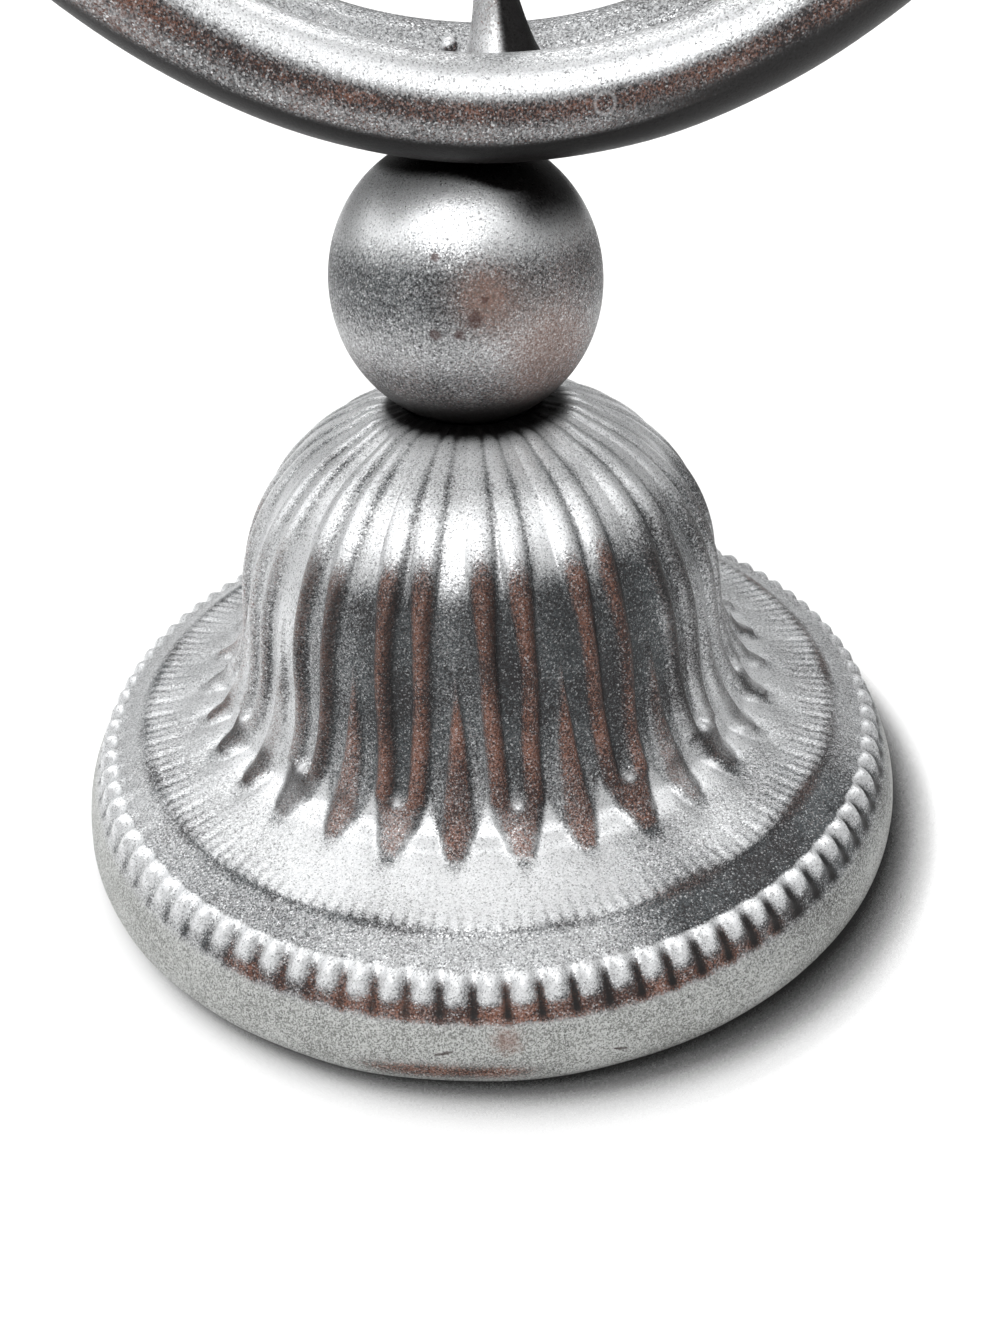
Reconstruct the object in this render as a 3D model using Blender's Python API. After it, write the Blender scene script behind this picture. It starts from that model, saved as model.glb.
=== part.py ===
"""French horn candle holder.

A hollow cast foot with a fluted bell, a steel ball, a horn coiled from round bar, and the horn's
bell turned up to take a taper candle. Lengths are in metres and Z is up. The foot's axis is the Z
axis, the holder stands on Z = 0, and the coil lies in the XZ plane with its front towards -Y.
"""

import math

import bmesh
import bpy
import numpy as np

# Room left between pieces that touch.
GAP = 0.0003

# Foot pad, a felt disc let into the underside of the foot.
PAD_THICKNESS = 0.0018
PAD_PROUD = 0.0003
PAD_LEDGE = 0.0035

# Foot, a hollow casting, from its lower edge up and in.
RIM_LAND = 0.0022
RIM_TUCK = 0.0019
RIM_TUCK_HEIGHT = 0.0027
RIM_LEAN = 0.0022
RIM_HEIGHT = 0.0096
BEAD_RING_WIDTH = 0.0037
BEAD_RING_RISE = 0.0034
BEAD_PROUD = 0.0013
LEDGE_WIDTH = 0.0037
LEDGE_RISE = 0.0016
FLANGE_WIDTH = 0.0086
FLANGE_RISE = 0.0010
FLARE_WIDTH = 0.0065
FLARE_HEIGHT = 0.0120
FOOT_BELL_RADIUS = 0.0308
SHOULDER_HEIGHT = 0.0257
SEAT_RADIUS = 0.0083
SEAT_LIP = 0.0005
FOOT_WALL = 0.0030
LEAF_COUNT = 16
LEAF_TURN = 2.0
FLUTE_DEPTH = 0.0010
FLUTE_FADE = 0.25
FLUTE_DEEPENING = 1.6
DART_START = 0.4
SHOULDER_ROUNDING = 1.8
SHOULDER_SHARPNESS = 0.37
FLARE_POWER = 1.65

# Ball, and the rod, washer and nut that hold it on the foot.
BALL_RADIUS = 0.0150
ROD_RADIUS = 0.0030
ROD_END = 0.0030
WASHER_RADIUS = 0.0080
WASHER_THICKNESS = 0.0016
NUT_ACROSS_FLATS = 0.0100
NUT_HEIGHT = 0.0050

# Coil, two turns of round bar side by side. Angles are in degrees, anticlockwise from +X.
BAR_RADIUS = 0.0045
COIL_RADIUS = 0.0570
COIL_OFFSET = 0.0052
COIL_LEAN = 11.4
LEAD_ANGLE = 215.0
NECK_ANGLE = 60.0
CROSSING_DELAY = 10.0
CROSSING_SPAN = 44.0
COIL_JOINT_ANGLE = 165.0

# Ferrules, plain sleeves over the joints of the tubing.
FERRULE_WALL = 0.0012
FERRULE_LENGTH = 0.0100
FERRULE_CHAMFER = 0.0004

# Lead pipe and mouthpiece, along the straight that meets the coil at its lead angle.
LEAD_RUN = 0.0300
LEAD_LENGTH = 0.0220
LEAD_TIP_RADIUS = 0.0034
MOUTHPIECE_SHANK = 0.0100
MOUTHPIECE_CUP = 0.0140
MOUTHPIECE_RADIUS = 0.0080
MOUTHPIECE_EDGE = 0.0014
MOUTHPIECE_BORE = 0.0015

# Bell neck, bent back from the coil until it runs straight up on the foot's axis.
NECK_JOINT_TURN = 24.0
NECK_RADIUS = 0.0080

# Horn bell and what it holds.
BELL_MOUTH_RADIUS = 0.0480
BELL_LENGTH = 0.0420
BELL_FLARE_POWER = 0.9
BELL_WALL = 0.0012
RIM_WIRE_RADIUS = 0.0016
CANDLE_RADIUS = 0.0112
CUP_DEPTH = 0.0240
CUP_FLOOR = 0.0020
CUP_WALL = 0.0012
CUP_EDGE = 0.0012
STEM_RADIUS = 0.0030
STEM_GRIP = 0.0060
PLUG_LENGTH = 0.0080
PAN_DROP = 0.0040
PAN_THICKNESS = 0.0008

# Stay post and the three valves that it carries.
POST_OFFSET = 0.0038
POST_RADIUS = 0.0018
POST_FOOT_RADIUS = 0.0034
POST_FOOT_HEIGHT = 0.0050
VALVE_COUNT = 3
VALVE_PITCH = 0.0210
VALVE_RADIUS = 0.0085
VALVE_LENGTH = 0.0120
VALVE_CAP_RADIUS = 0.0074
VALVE_CAP_EDGE = 0.0012
VALVE_CAP_CROWN = 0.0016

# Fineness of the round shapes.
FINE_SIDES = 40
ROUND_SIDES = 28
SMALL_SIDES = 16
BAR_RESOLUTION = 4
COIL_STEP = 7.0
SQUARE_END = 0.4
BELL_ROWS = 10

SILVER = (0.56, 0.56, 0.57)
DARK_SILVER = (0.34, 0.33, 0.34)
STEEL = (0.45, 0.45, 0.46)
FELT = (0.03, 0.05, 0.04)


def finish(piece, colour, metallic, roughness):
    """Gives a piece its own paint, metal or felt."""
    material = bpy.data.materials.new(piece.name + "_finish")
    material.use_nodes = True
    shader = material.node_tree.nodes["Principled BSDF"]
    shader.inputs["Base Color"].default_value = (*colour, 1.0)
    shader.inputs["Metallic"].default_value = metallic
    shader.inputs["Roughness"].default_value = roughness
    piece.data.materials.append(material)


def paint(piece, colour=SILVER):
    """Sprayed silver paint."""
    finish(piece, colour, 0.8, 0.45)


def placed(name, data):
    """A new object that shows the given mesh or curve."""
    piece = bpy.data.objects.new(name, data)
    bpy.context.scene.collection.objects.link(piece)
    return piece


def mesh_from(name, work):
    """A mesh from a finished bmesh, shaded smooth with its sharp edges kept."""
    bmesh.ops.remove_doubles(work, verts=work.verts, dist=1e-7)
    bmesh.ops.recalc_face_normals(work, faces=work.faces)
    mesh = bpy.data.meshes.new(name)
    work.to_mesh(mesh)
    work.free()
    mesh.shade_smooth()
    mesh.set_sharp_from_angle(angle=math.radians(35))
    return mesh


def turned(name, outline, sides):
    """A turned piece: (radius, height) points spun round the Z axis.

    An outline that starts and ends on the axis gives a solid piece, and any other is closed into a ring.
    """
    work = bmesh.new()
    points = [work.verts.new((radius, 0.0, height)) for radius, height in outline]
    for first, second in zip(points, points[1:]):
        work.edges.new((first, second))
    if outline[0][0] > 0.0:
        work.edges.new((points[-1], points[0]))
    bmesh.ops.spin(
        work,
        geom=work.verts[:] + work.edges[:],
        cent=(0.0, 0.0, 0.0),
        axis=(0.0, 0.0, 1.0),
        angle=math.tau,
        steps=sides,
        use_merge=True,
    )
    return placed(name, mesh_from(name, work))


def bar(name, points, radii):
    """A round bar along the points, with its radius given at each of them."""
    curve = bpy.data.curves.new(name, "CURVE")
    curve.dimensions = "3D"
    curve.bevel_depth = 1.0
    curve.bevel_resolution = BAR_RESOLUTION
    curve.use_fill_caps = True
    spline = curve.splines.new("POLY")
    spline.points.add(len(points) - 1)
    for knot, point, radius in zip(spline.points, points, radii):
        knot.co = (*point, 1.0)
        knot.radius = radius
    return placed(name, curve)


def cut(piece, cutter):
    """Takes the cutter's shape out of a piece."""
    cutter.hide_render = True
    cutter.display_type = "WIRE"
    boolean = piece.modifiers.new("cut_" + cutter.name, "BOOLEAN")
    boolean.operation = "DIFFERENCE"
    boolean.solver = "EXACT"
    boolean.object = cutter


def disc(radius, base, top):
    """The outline of a plain solid disc or rod."""
    return [(0.0, top), (radius, top), (radius, base), (0.0, base)]


def arc(centre_r, centre_z, radius, start, end, steps):
    """Outline points on an arc, with its angles in degrees from the radial direction."""
    angles = np.radians(np.linspace(start, end, steps + 1))
    return [(centre_r + radius * math.cos(a), centre_z + radius * math.sin(a)) for a in angles]


def shoulder(share):
    """The foot bell's radius, as a share of its widest, at a share of the way up to its pole."""
    return (1.0 - share**SHOULDER_ROUNDING) ** SHOULDER_SHARPNESS


def shoulder_share(radius_share):
    """How far up to the pole the shoulder has drawn in to a share of its radius."""
    return (1.0 - radius_share ** (1.0 / SHOULDER_SHARPNESS)) ** (1.0 / SHOULDER_ROUNDING)


def flare(share):
    """How much of the foot bell's flare is left at a share of its height."""
    return (1.0 - share) ** FLARE_POWER


# Levels of the foot.
rim_base = PAD_PROUD
bead_level = rim_base + RIM_HEIGHT
ledge_level = bead_level + BEAD_RING_RISE
flange_level = ledge_level + LEDGE_RISE
tongue_level = flange_level + FLANGE_RISE
shoulder_level = tongue_level + FLARE_HEIGHT
seat_level = shoulder_level + SHOULDER_HEIGHT

# Radii of the foot.
tongue_radius = FOOT_BELL_RADIUS + FLARE_WIDTH
flange_radius = tongue_radius + FLANGE_WIDTH
ledge_radius = flange_radius + LEDGE_WIDTH
bead_outer_radius = ledge_radius + BEAD_RING_WIDTH
rim_radius = bead_outer_radius + RIM_LEAN
rim_base_radius = rim_radius - RIM_TUCK
pad_radius = rim_base_radius - RIM_LAND - GAP
hollow_radius = pad_radius - PAD_LEDGE

# Levels of the ball and of what holds it.
ball_level = seat_level + math.sqrt((BALL_RADIUS + GAP) ** 2 - SEAT_RADIUS**2)
seat_floor = ball_level - BALL_RADIUS - GAP
web_level = seat_floor - FOOT_WALL
washer_base = web_level - GAP - WASHER_THICKNESS
nut_base = washer_base - GAP - NUT_HEIGHT
rod_base = nut_base - ROD_END
rod_top = ball_level + math.sqrt(BALL_RADIUS**2 - ROD_RADIUS**2)
rod_bore = ROD_RADIUS + GAP

# The coil's two bars rest on the ball side by side, leaning a little forward of its top.
rest_radius = BALL_RADIUS + BAR_RADIUS + GAP
rest_half = math.asin((BAR_RADIUS + GAP / 2.0) / rest_radius)
back_rest = math.radians(COIL_LEAN) - rest_half
front_rest = math.radians(COIL_LEAN) + rest_half
back_depth = -rest_radius * math.sin(back_rest)
front_depth = -rest_radius * math.sin(front_rest)
back_level = ball_level + math.sqrt((COIL_RADIUS + rest_radius * math.cos(back_rest)) ** 2 - COIL_OFFSET**2)
front_level = ball_level + math.sqrt((COIL_RADIUS + rest_radius * math.cos(front_rest)) ** 2 - COIL_OFFSET**2)
coil_depth = (back_depth + front_depth) / 2.0
coil_level = (back_level + front_level) / 2.0


def foot_outline():
    """Rows of the foot's outside, from the ball's seat down to the lower edge.

    Each row is (radius, height, depth of the flutes there, share of the dart's height there).
    """
    rows = []
    pole_share = shoulder_share(SEAT_RADIUS / FOOT_BELL_RADIUS)
    for share in np.sin(np.linspace(1.0, 0.0, 8) * math.pi / 2.0):
        height = shoulder_level + SHOULDER_HEIGHT * share
        depth = FLUTE_DEPTH * min(1.0, FLUTE_FADE + FLUTE_DEEPENING * (1.0 - share))
        dart = max(0.0, DART_START - share) / DART_START
        rows.append((FOOT_BELL_RADIUS * shoulder(share * pole_share), height, depth, dart))
    for share in (0.8, 0.6, 0.4, 0.2, 0.05):
        height = tongue_level + FLARE_HEIGHT * share
        rows.append((FOOT_BELL_RADIUS + FLARE_WIDTH * flare(share), height, FLUTE_DEPTH, 1.0))
    rows.append((tongue_radius, tongue_level, 0.0, 1.0))
    rows.append((tongue_radius + FLANGE_WIDTH / 2.0, flange_level + FLANGE_RISE / 4.0, 0.0, 1.0))
    rows.append((flange_radius, flange_level, 0.0, 1.0))
    rows.append((ledge_radius, ledge_level, 0.0, 1.0))
    slope = math.atan2(BEAD_RING_RISE, BEAD_RING_WIDTH)
    for share in (0.25, 0.5, 0.75):
        crown = BEAD_PROUD * math.sin(share * math.pi)
        radius = ledge_radius + BEAD_RING_WIDTH * share + crown * math.sin(slope)
        rows.append((radius, ledge_level - BEAD_RING_RISE * share + crown * math.cos(slope), 0.0, 1.0))
    rows.append((bead_outer_radius, bead_level, 0.0, 1.0))
    for share in (0.5, 1.0):
        radius = bead_outer_radius + RIM_LEAN * math.sin(share * math.pi / 2.0)
        height = bead_level - (RIM_HEIGHT - RIM_TUCK_HEIGHT) * share
        rows.append((radius, height, 0.0, 1.0))
    rows.append((rim_base_radius, rim_base, 0.0, 1.0))
    return np.array(rows)


def foot():
    """The foot: rows of points round the axis, six to a leaf and its dart, hollowed from below.

    Round the bell, a leaf is two raised rails with a groove between them, and a single raised dart
    stands between each two leaves.
    """
    rows = foot_outline()
    radius, height, depth, dart = rows.T
    run = np.gradient(radius)
    rise = np.gradient(height)
    length = np.hypot(run, rise)
    columns = 6 * LEAF_COUNT
    angle = np.radians(LEAF_TURN - 90.0) + math.tau * np.arange(columns) / columns
    rail = np.tile([0.0, 1.0, 0.0, 0.0, 0.0, 1.0], LEAF_COUNT)
    spear = np.tile([0.0, 0.0, 0.0, 1.0, 0.0, 0.0], LEAF_COUNT)
    sunk = depth[:, None] * (1.0 - rail - spear * dart[:, None])
    out = radius[:, None] + sunk * (rise / length)[:, None]
    up = height[:, None] - sunk * (run / length)[:, None]
    places = np.stack([out * np.cos(angle), out * np.sin(angle), up], axis=-1)

    work = bmesh.new()
    rings = [[work.verts.new(place) for place in ring] for ring in places]
    for upper, lower in zip(rings, rings[1:]):
        for step in range(columns):
            after = (step + 1) % columns
            work.faces.new((upper[step], lower[step], lower[after], upper[after]))
    work.faces.new(rings[0])
    work.faces.new(rings[-1])
    piece = placed("foot", mesh_from("foot", work))
    cut(piece, foot_hollow())
    paint(piece)


def foot_hollow():
    """What is taken out of the foot: the pad's recess, the hollow, the rod's hole and the ball's seat."""
    past = FOOT_WALL
    pad_recess = pad_radius + GAP
    pad_ceiling = PAD_THICKNESS + GAP
    ceiling = flange_level - FOOT_WALL
    inner_radius = FOOT_BELL_RADIUS - FOOT_WALL
    flat_radius = WASHER_RADIUS + FOOT_WALL
    flat_share = shoulder_share(flat_radius / inner_radius)
    outline = [
        (0.0, -past),
        (pad_recess, -past),
        (pad_recess, pad_ceiling),
        (hollow_radius, pad_ceiling),
        (hollow_radius, ceiling - (hollow_radius - flange_radius) - LEDGE_RISE),
        (flange_radius, ceiling - LEDGE_RISE),
        (tongue_radius, ceiling),
    ]
    for share in (0.25, 0.6):
        height = tongue_level + FLARE_HEIGHT * share - FOOT_WALL * (1.0 - share)
        outline.append((inner_radius + FLARE_WIDTH * flare(share), height))
    for share in np.sin(np.linspace(0.0, 1.0, 6) * math.pi / 2.0):
        height = shoulder_level + (web_level - shoulder_level) * share
        outline.append((inner_radius * shoulder(share * flat_share), height))
    outline += [
        (rod_bore, web_level),
        (rod_bore, seat_floor),
        (ROD_RADIUS + (SEAT_RADIUS - ROD_RADIUS) / 2.0, seat_floor),
        (SEAT_RADIUS - SEAT_LIP, seat_level),
        (SEAT_RADIUS - SEAT_LIP, seat_level + past),
        (0.0, seat_level + past),
    ]
    return turned("foot_hollow", outline, FINE_SIDES)


def foot_pad():
    """A felt disc, let into the foot and a little proud of its lower edge."""
    finish(turned("foot_pad", disc(pad_radius, 0.0, PAD_THICKNESS), FINE_SIDES), FELT, 0.0, 0.95)


def ball():
    """The steel ball, drilled through for the rod."""
    edge = math.degrees(math.acos(rod_bore / BALL_RADIUS))
    outline = arc(0.0, ball_level, BALL_RADIUS, edge, -edge, 16)
    paint(turned("ball", outline, ROUND_SIDES))


def tie():
    """The rod through foot and ball, with its washer and nut inside the foot."""
    finish(turned("tie_rod", disc(ROD_RADIUS, rod_base, rod_top), SMALL_SIDES), STEEL, 1.0, 0.4)
    washer_top = washer_base + WASHER_THICKNESS
    outline = [
        (rod_bore, washer_top),
        (WASHER_RADIUS, washer_top),
        (WASHER_RADIUS, washer_base),
        (rod_bore, washer_base),
    ]
    finish(turned("tie_washer", outline, ROUND_SIDES), STEEL, 1.0, 0.4)
    nut_corner = NUT_ACROSS_FLATS / math.sqrt(3.0)
    nut_top = nut_base + NUT_HEIGHT
    nut = turned("tie_nut", disc(nut_corner, nut_base, nut_top), 6)
    cut(nut, turned("nut_hole", disc(rod_bore, nut_base - GAP, nut_top + GAP), SMALL_SIDES))
    finish(nut, STEEL, 1.0, 0.4)


def coil_point(turn):
    """A point on the coil's centre line, at an angle counted on from the lead's, in degrees.

    The first turn lies at the back. A little past the neck's angle it crosses to the front.
    """
    crossed = (turn - 360.0 - NECK_ANGLE - CROSSING_DELAY) / CROSSING_SPAN
    swing = math.cos(math.pi * min(1.0, max(0.0, crossed)))
    angle = math.radians(turn)
    return (
        COIL_OFFSET + COIL_RADIUS * math.cos(angle),
        coil_depth + (back_depth - coil_depth) * swing,
        coil_level + (back_level - coil_level) * swing + COIL_RADIUS * math.sin(angle),
    )


def turns_between(start, end, step):
    """Angles from start to end, with a short first and last step that leave the bar's ends square."""
    count = max(2, round((end - start) / step))
    inner = np.linspace(start, end, count + 1)
    return np.concatenate([[start, start + SQUARE_END], inner[1:-1], [end - SQUARE_END, end]])


def coil_points(start, end):
    """Points along the coil from one angle to another."""
    return [coil_point(turn) for turn in turns_between(start, end, COIL_STEP)]


# The neck's arc bends the other way from the coil, and ends straight above the foot.
neck_cosine = math.cos(math.radians(NECK_ANGLE))
neck_bend = (COIL_RADIUS * neck_cosine + COIL_OFFSET) / (1.0 - neck_cosine)
neck_centre_x = COIL_OFFSET + (COIL_RADIUS + neck_bend) * neck_cosine
neck_top = front_level + (COIL_RADIUS + neck_bend) * math.sin(math.radians(NECK_ANGLE))
bell_base = neck_top + FERRULE_LENGTH / 2.0
bell_throat = bell_base + FERRULE_LENGTH / 2.0
bell_mouth = bell_throat + BELL_LENGTH

# Half the room at a joint between two bars, as an angle of the coil and of the neck.
coil_slit = math.degrees(GAP / 2.0 / COIL_RADIUS)
neck_slit = math.degrees(GAP / 2.0 / neck_bend)


def neck_point(turn):
    """A point on the neck's centre line, at an angle turned on from the coil, in degrees.

    From the neck's joint on it moves back over the foot's axis.
    """
    angle = math.radians(180.0 + NECK_ANGLE - turn)
    moved = max(0.0, (turn - NECK_JOINT_TURN) / (NECK_ANGLE - NECK_JOINT_TURN))
    depth = front_depth * (1.0 + math.cos(math.pi * moved)) / 2.0
    return (neck_centre_x + neck_bend * math.cos(angle), depth, neck_top + neck_bend * math.sin(angle))


def lead_place(distance):
    """A point on the straight that runs back from the start of the coil."""
    angle = math.radians(LEAD_ANGLE)
    x, y, z = coil_point(LEAD_ANGLE)
    return (x + distance * math.sin(angle), y, z - distance * math.cos(angle))


def along_lead(piece, distance):
    """Sets a turned piece on the lead's straight, its top towards the mouthpiece."""
    angle = math.radians(LEAD_ANGLE)
    piece.location = lead_place(distance)
    piece.rotation_euler = (0.0, math.atan2(math.sin(angle), -math.cos(angle)), 0.0)


def coil():
    """The two turns of bar, joined end to end under the coil's ferrule."""
    joint = 360.0 + COIL_JOINT_ANGLE
    first = [lead_place(LEAD_RUN - GAP / 2.0)] + coil_points(LEAD_ANGLE, joint - coil_slit)
    paint(bar("coil_first_turn", first, [BAR_RADIUS] * len(first)))
    second = coil_points(joint + coil_slit, 720.0 + NECK_ANGLE)
    joint_turn = NECK_JOINT_TURN - neck_slit
    second += [neck_point(turn) for turn in turns_between(0.0, joint_turn, COIL_STEP)[1:]]
    paint(bar("coil_second_turn", second, [BAR_RADIUS] * len(second)))


def sleeve(name, bore):
    """A ferrule with chamfered edges, centred on the origin along Z."""
    outer = bore + FERRULE_WALL
    half = FERRULE_LENGTH / 2.0
    chamfer = min(FERRULE_CHAMFER, FERRULE_WALL / 2.0)
    outline = [
        (bore, half),
        (outer - chamfer, half),
        (outer, half - chamfer),
        (outer, chamfer - half),
        (outer - chamfer, -half),
        (bore, -half),
    ]
    piece = turned(name, outline, SMALL_SIDES)
    paint(piece)
    return piece


def aimed(piece, place, ahead):
    """Sets a turned piece at a place, with its axis towards a point ahead of it."""
    run = [b - a for a, b in zip(place, ahead)]
    piece.location = place
    piece.rotation_euler = (0.0, math.atan2(math.hypot(run[0], run[1]), run[2]), math.atan2(run[1], run[0]))


def ferrules():
    """The sleeves over the joints of coil, lead pipe, neck and bell."""
    joint = 360.0 + COIL_JOINT_ANGLE
    bend_room = (FERRULE_LENGTH / 2.0) ** 2 / (2.0 * min(COIL_RADIUS, neck_bend))
    bore = BAR_RADIUS + GAP + bend_room
    aimed(sleeve("coil_ferrule", bore), coil_point(joint), coil_point(joint + 1.0))
    along_lead(sleeve("lead_ferrule", BAR_RADIUS + GAP), LEAD_RUN)
    here = neck_point(NECK_JOINT_TURN)
    aimed(sleeve("neck_ferrule", bore), here, neck_point(NECK_JOINT_TURN + 1.0))
    sleeve("bell_ferrule", NECK_RADIUS + GAP).location = (0.0, 0.0, bell_base)


def lead():
    """The tapered lead pipe, its receiver and the mouthpiece, in line."""
    pipe = turned(
        "lead_pipe",
        [
            (0.0, LEAD_LENGTH),
            (LEAD_TIP_RADIUS, LEAD_LENGTH),
            (LEAD_TIP_RADIUS, LEAD_LENGTH - FERRULE_LENGTH / 2.0),
            (BAR_RADIUS, FERRULE_LENGTH / 2.0),
            (BAR_RADIUS, GAP / 2.0),
            (0.0, GAP / 2.0),
        ],
        SMALL_SIDES,
    )
    along_lead(pipe, LEAD_RUN)
    paint(pipe)
    tip = LEAD_RUN + LEAD_LENGTH
    along_lead(sleeve("mouthpiece_receiver", LEAD_TIP_RADIUS + GAP), tip)
    mouth = MOUTHPIECE_SHANK + MOUTHPIECE_CUP
    inner = MOUTHPIECE_RADIUS - MOUTHPIECE_EDGE
    piece = turned(
        "mouthpiece",
        [
            (0.0, GAP),
            (LEAD_TIP_RADIUS, GAP),
            (LEAD_TIP_RADIUS, MOUTHPIECE_SHANK),
            (LEAD_TIP_RADIUS + 0.3 * (MOUTHPIECE_RADIUS - LEAD_TIP_RADIUS), mouth - 0.5 * MOUTHPIECE_CUP),
            (MOUTHPIECE_RADIUS - MOUTHPIECE_EDGE / 2.0, mouth - 0.15 * MOUTHPIECE_CUP),
            (MOUTHPIECE_RADIUS, mouth - 0.1 * MOUTHPIECE_CUP),
            (MOUTHPIECE_RADIUS, mouth - 0.03 * MOUTHPIECE_CUP),
            (MOUTHPIECE_RADIUS - MOUTHPIECE_EDGE / 2.0, mouth),
            (inner, mouth - 0.05 * MOUTHPIECE_CUP),
            (MOUTHPIECE_BORE + 0.4 * (inner - MOUTHPIECE_BORE), mouth - 0.45 * MOUTHPIECE_CUP),
            (MOUTHPIECE_BORE, mouth - 0.9 * MOUTHPIECE_CUP),
            (0.0, mouth - 0.9 * MOUTHPIECE_CUP),
        ],
        SMALL_SIDES,
    )
    along_lead(piece, tip)
    paint(piece)


def neck():
    """The bell's neck, which widens from the bar to the bell's throat."""
    start = NECK_JOINT_TURN + neck_slit
    clear = NECK_JOINT_TURN + math.degrees((FERRULE_LENGTH / 2.0 + GAP) / neck_bend)
    turns = np.concatenate([[start, start + SQUARE_END], turns_between(clear, NECK_ANGLE, COIL_STEP)])
    points = [neck_point(turn) for turn in turns] + [(0.0, 0.0, bell_base - GAP / 2.0)]
    widened = np.clip((turns - clear) / (NECK_ANGLE - clear), 0.0, 1.0)
    radii = list(BAR_RADIUS + (NECK_RADIUS - BAR_RADIUS) * widened) + [NECK_RADIUS]
    paint(bar("bell_neck", points, radii))


# The bell widens towards its mouth as a power of the distance from it.
bell_pole = BELL_LENGTH / ((BELL_MOUTH_RADIUS / NECK_RADIUS) ** (1.0 / BELL_FLARE_POWER) - 1.0)


def bell_radius(height):
    """The bell's outer radius at a height."""
    return BELL_MOUTH_RADIUS / (1.0 + (bell_mouth - height) / bell_pole) ** BELL_FLARE_POWER


def bell_height(radius):
    """The height at which the bell has an outer radius."""
    return bell_mouth - bell_pole * ((BELL_MOUTH_RADIUS / radius) ** (1.0 / BELL_FLARE_POWER) - 1.0)


# The cup's foot sits where the bell has drawn in to it.
cup_radius = CANDLE_RADIUS + CUP_WALL
cup_base = bell_height(cup_radius + BELL_WALL + GAP)
cup_floor = cup_base + CUP_FLOOR
cup_top = cup_floor + CUP_DEPTH
plug_base = bell_base + GAP
plug_top = plug_base + PLUG_LENGTH
stem_base = plug_top - STEM_GRIP
pan_base = bell_mouth - PAN_DROP


def bell():
    """The spun bell, its rim wire and the plug in its throat."""
    heights = [bell_height(r) for r in np.geomspace(NECK_RADIUS, BELL_MOUTH_RADIUS, BELL_ROWS)]
    outer = [(bell_radius(z), z) for z in reversed(heights)] + [(NECK_RADIUS, bell_base + GAP / 2.0)]
    inner = [(radius - BELL_WALL, z) for radius, z in reversed(outer)]
    paint(turned("horn_bell", outer + inner, FINE_SIDES))
    ring_radius = BELL_MOUTH_RADIUS - BELL_WALL / 2.0
    ring_level = bell_mouth + RIM_WIRE_RADIUS + GAP
    paint(turned("bell_rim", arc(ring_radius, ring_level, RIM_WIRE_RADIUS, 360.0, 45.0, 7), FINE_SIDES))
    plug_radius = NECK_RADIUS - BELL_WALL - GAP
    stem_hole = STEM_RADIUS + GAP
    outline = [
        (0.0, stem_base - GAP),
        (stem_hole, stem_base - GAP),
        (stem_hole, plug_top),
        (plug_radius, plug_top),
        (plug_radius, plug_base),
        (0.0, plug_base),
    ]
    finish(turned("throat_plug", outline, SMALL_SIDES), STEEL, 1.0, 0.4)


def candle_fitting():
    """The candle cup on its stem, and the drip pan round it."""
    outline = [
        (0.0, cup_floor),
        (CANDLE_RADIUS, cup_floor),
        (CANDLE_RADIUS, cup_top),
        (cup_radius, cup_top),
        (cup_radius + CUP_EDGE, cup_top - CUP_EDGE),
        (cup_radius, cup_top - 2.0 * CUP_EDGE),
        (cup_radius, cup_base),
        (STEM_RADIUS, cup_base),
        (STEM_RADIUS, stem_base),
        (0.0, stem_base),
    ]
    paint(turned("candle_cup", outline, ROUND_SIDES))
    pan_hole = cup_radius + GAP
    pan_edge = bell_radius(pan_base) - BELL_WALL - GAP
    outline = [
        (pan_hole, pan_base + PAN_THICKNESS),
        (pan_edge, pan_base + PAN_THICKNESS),
        (pan_edge, pan_base),
        (pan_hole, pan_base),
    ]
    paint(turned("drip_pan", outline, FINE_SIDES))


def bar_cutter(name, start, end):
    """A stretch of the coil, thicker by the gap, to cut another piece clear of it."""
    points = coil_points(start, end)
    thick = bar(name + "_guide", points, [BAR_RADIUS + GAP] * len(points))
    thick.hide_render = True
    thick.display_type = "WIRE"
    graph = bpy.context.evaluated_depsgraph_get()
    return placed(name, bpy.data.meshes.new_from_object(thick.evaluated_get(graph)))


post_angle = math.degrees(math.acos((POST_OFFSET - COIL_OFFSET) / COIL_RADIUS))
post_valley = coil_level - COIL_RADIUS * math.sin(math.radians(post_angle))
post_top = coil_point(360.0 + post_angle)[2] - BAR_RADIUS - GAP


def stay_post():
    """The post: a thin rod whose welded foot fills the valley between the two bars."""
    foot_top = post_valley + BAR_RADIUS
    outline = [(0.0, post_top), (POST_RADIUS, post_top)]
    for share in (1.0, 0.6, 0.3, 0.0):
        spread = (POST_FOOT_RADIUS - POST_RADIUS) * (1.0 - share) ** 2
        outline.append((POST_RADIUS + spread, foot_top + POST_FOOT_HEIGHT * share - BAR_RADIUS / 2.0))
    outline += [(POST_FOOT_RADIUS, post_valley), (0.0, post_valley)]
    piece = turned("stay_post", outline, SMALL_SIDES)
    piece.location = (POST_OFFSET, coil_depth, 0.0)
    reach = 8.0 * COIL_STEP
    cut(piece, bar_cutter("back_bar", 360.0 - post_angle - reach / 2.0, 360.0 - post_angle + reach / 2.0))
    cut(piece, bar_cutter("front_bar", 720.0 - post_angle - reach / 2.0, 720.0 - post_angle + reach / 2.0))
    paint(piece, DARK_SILVER)


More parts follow.
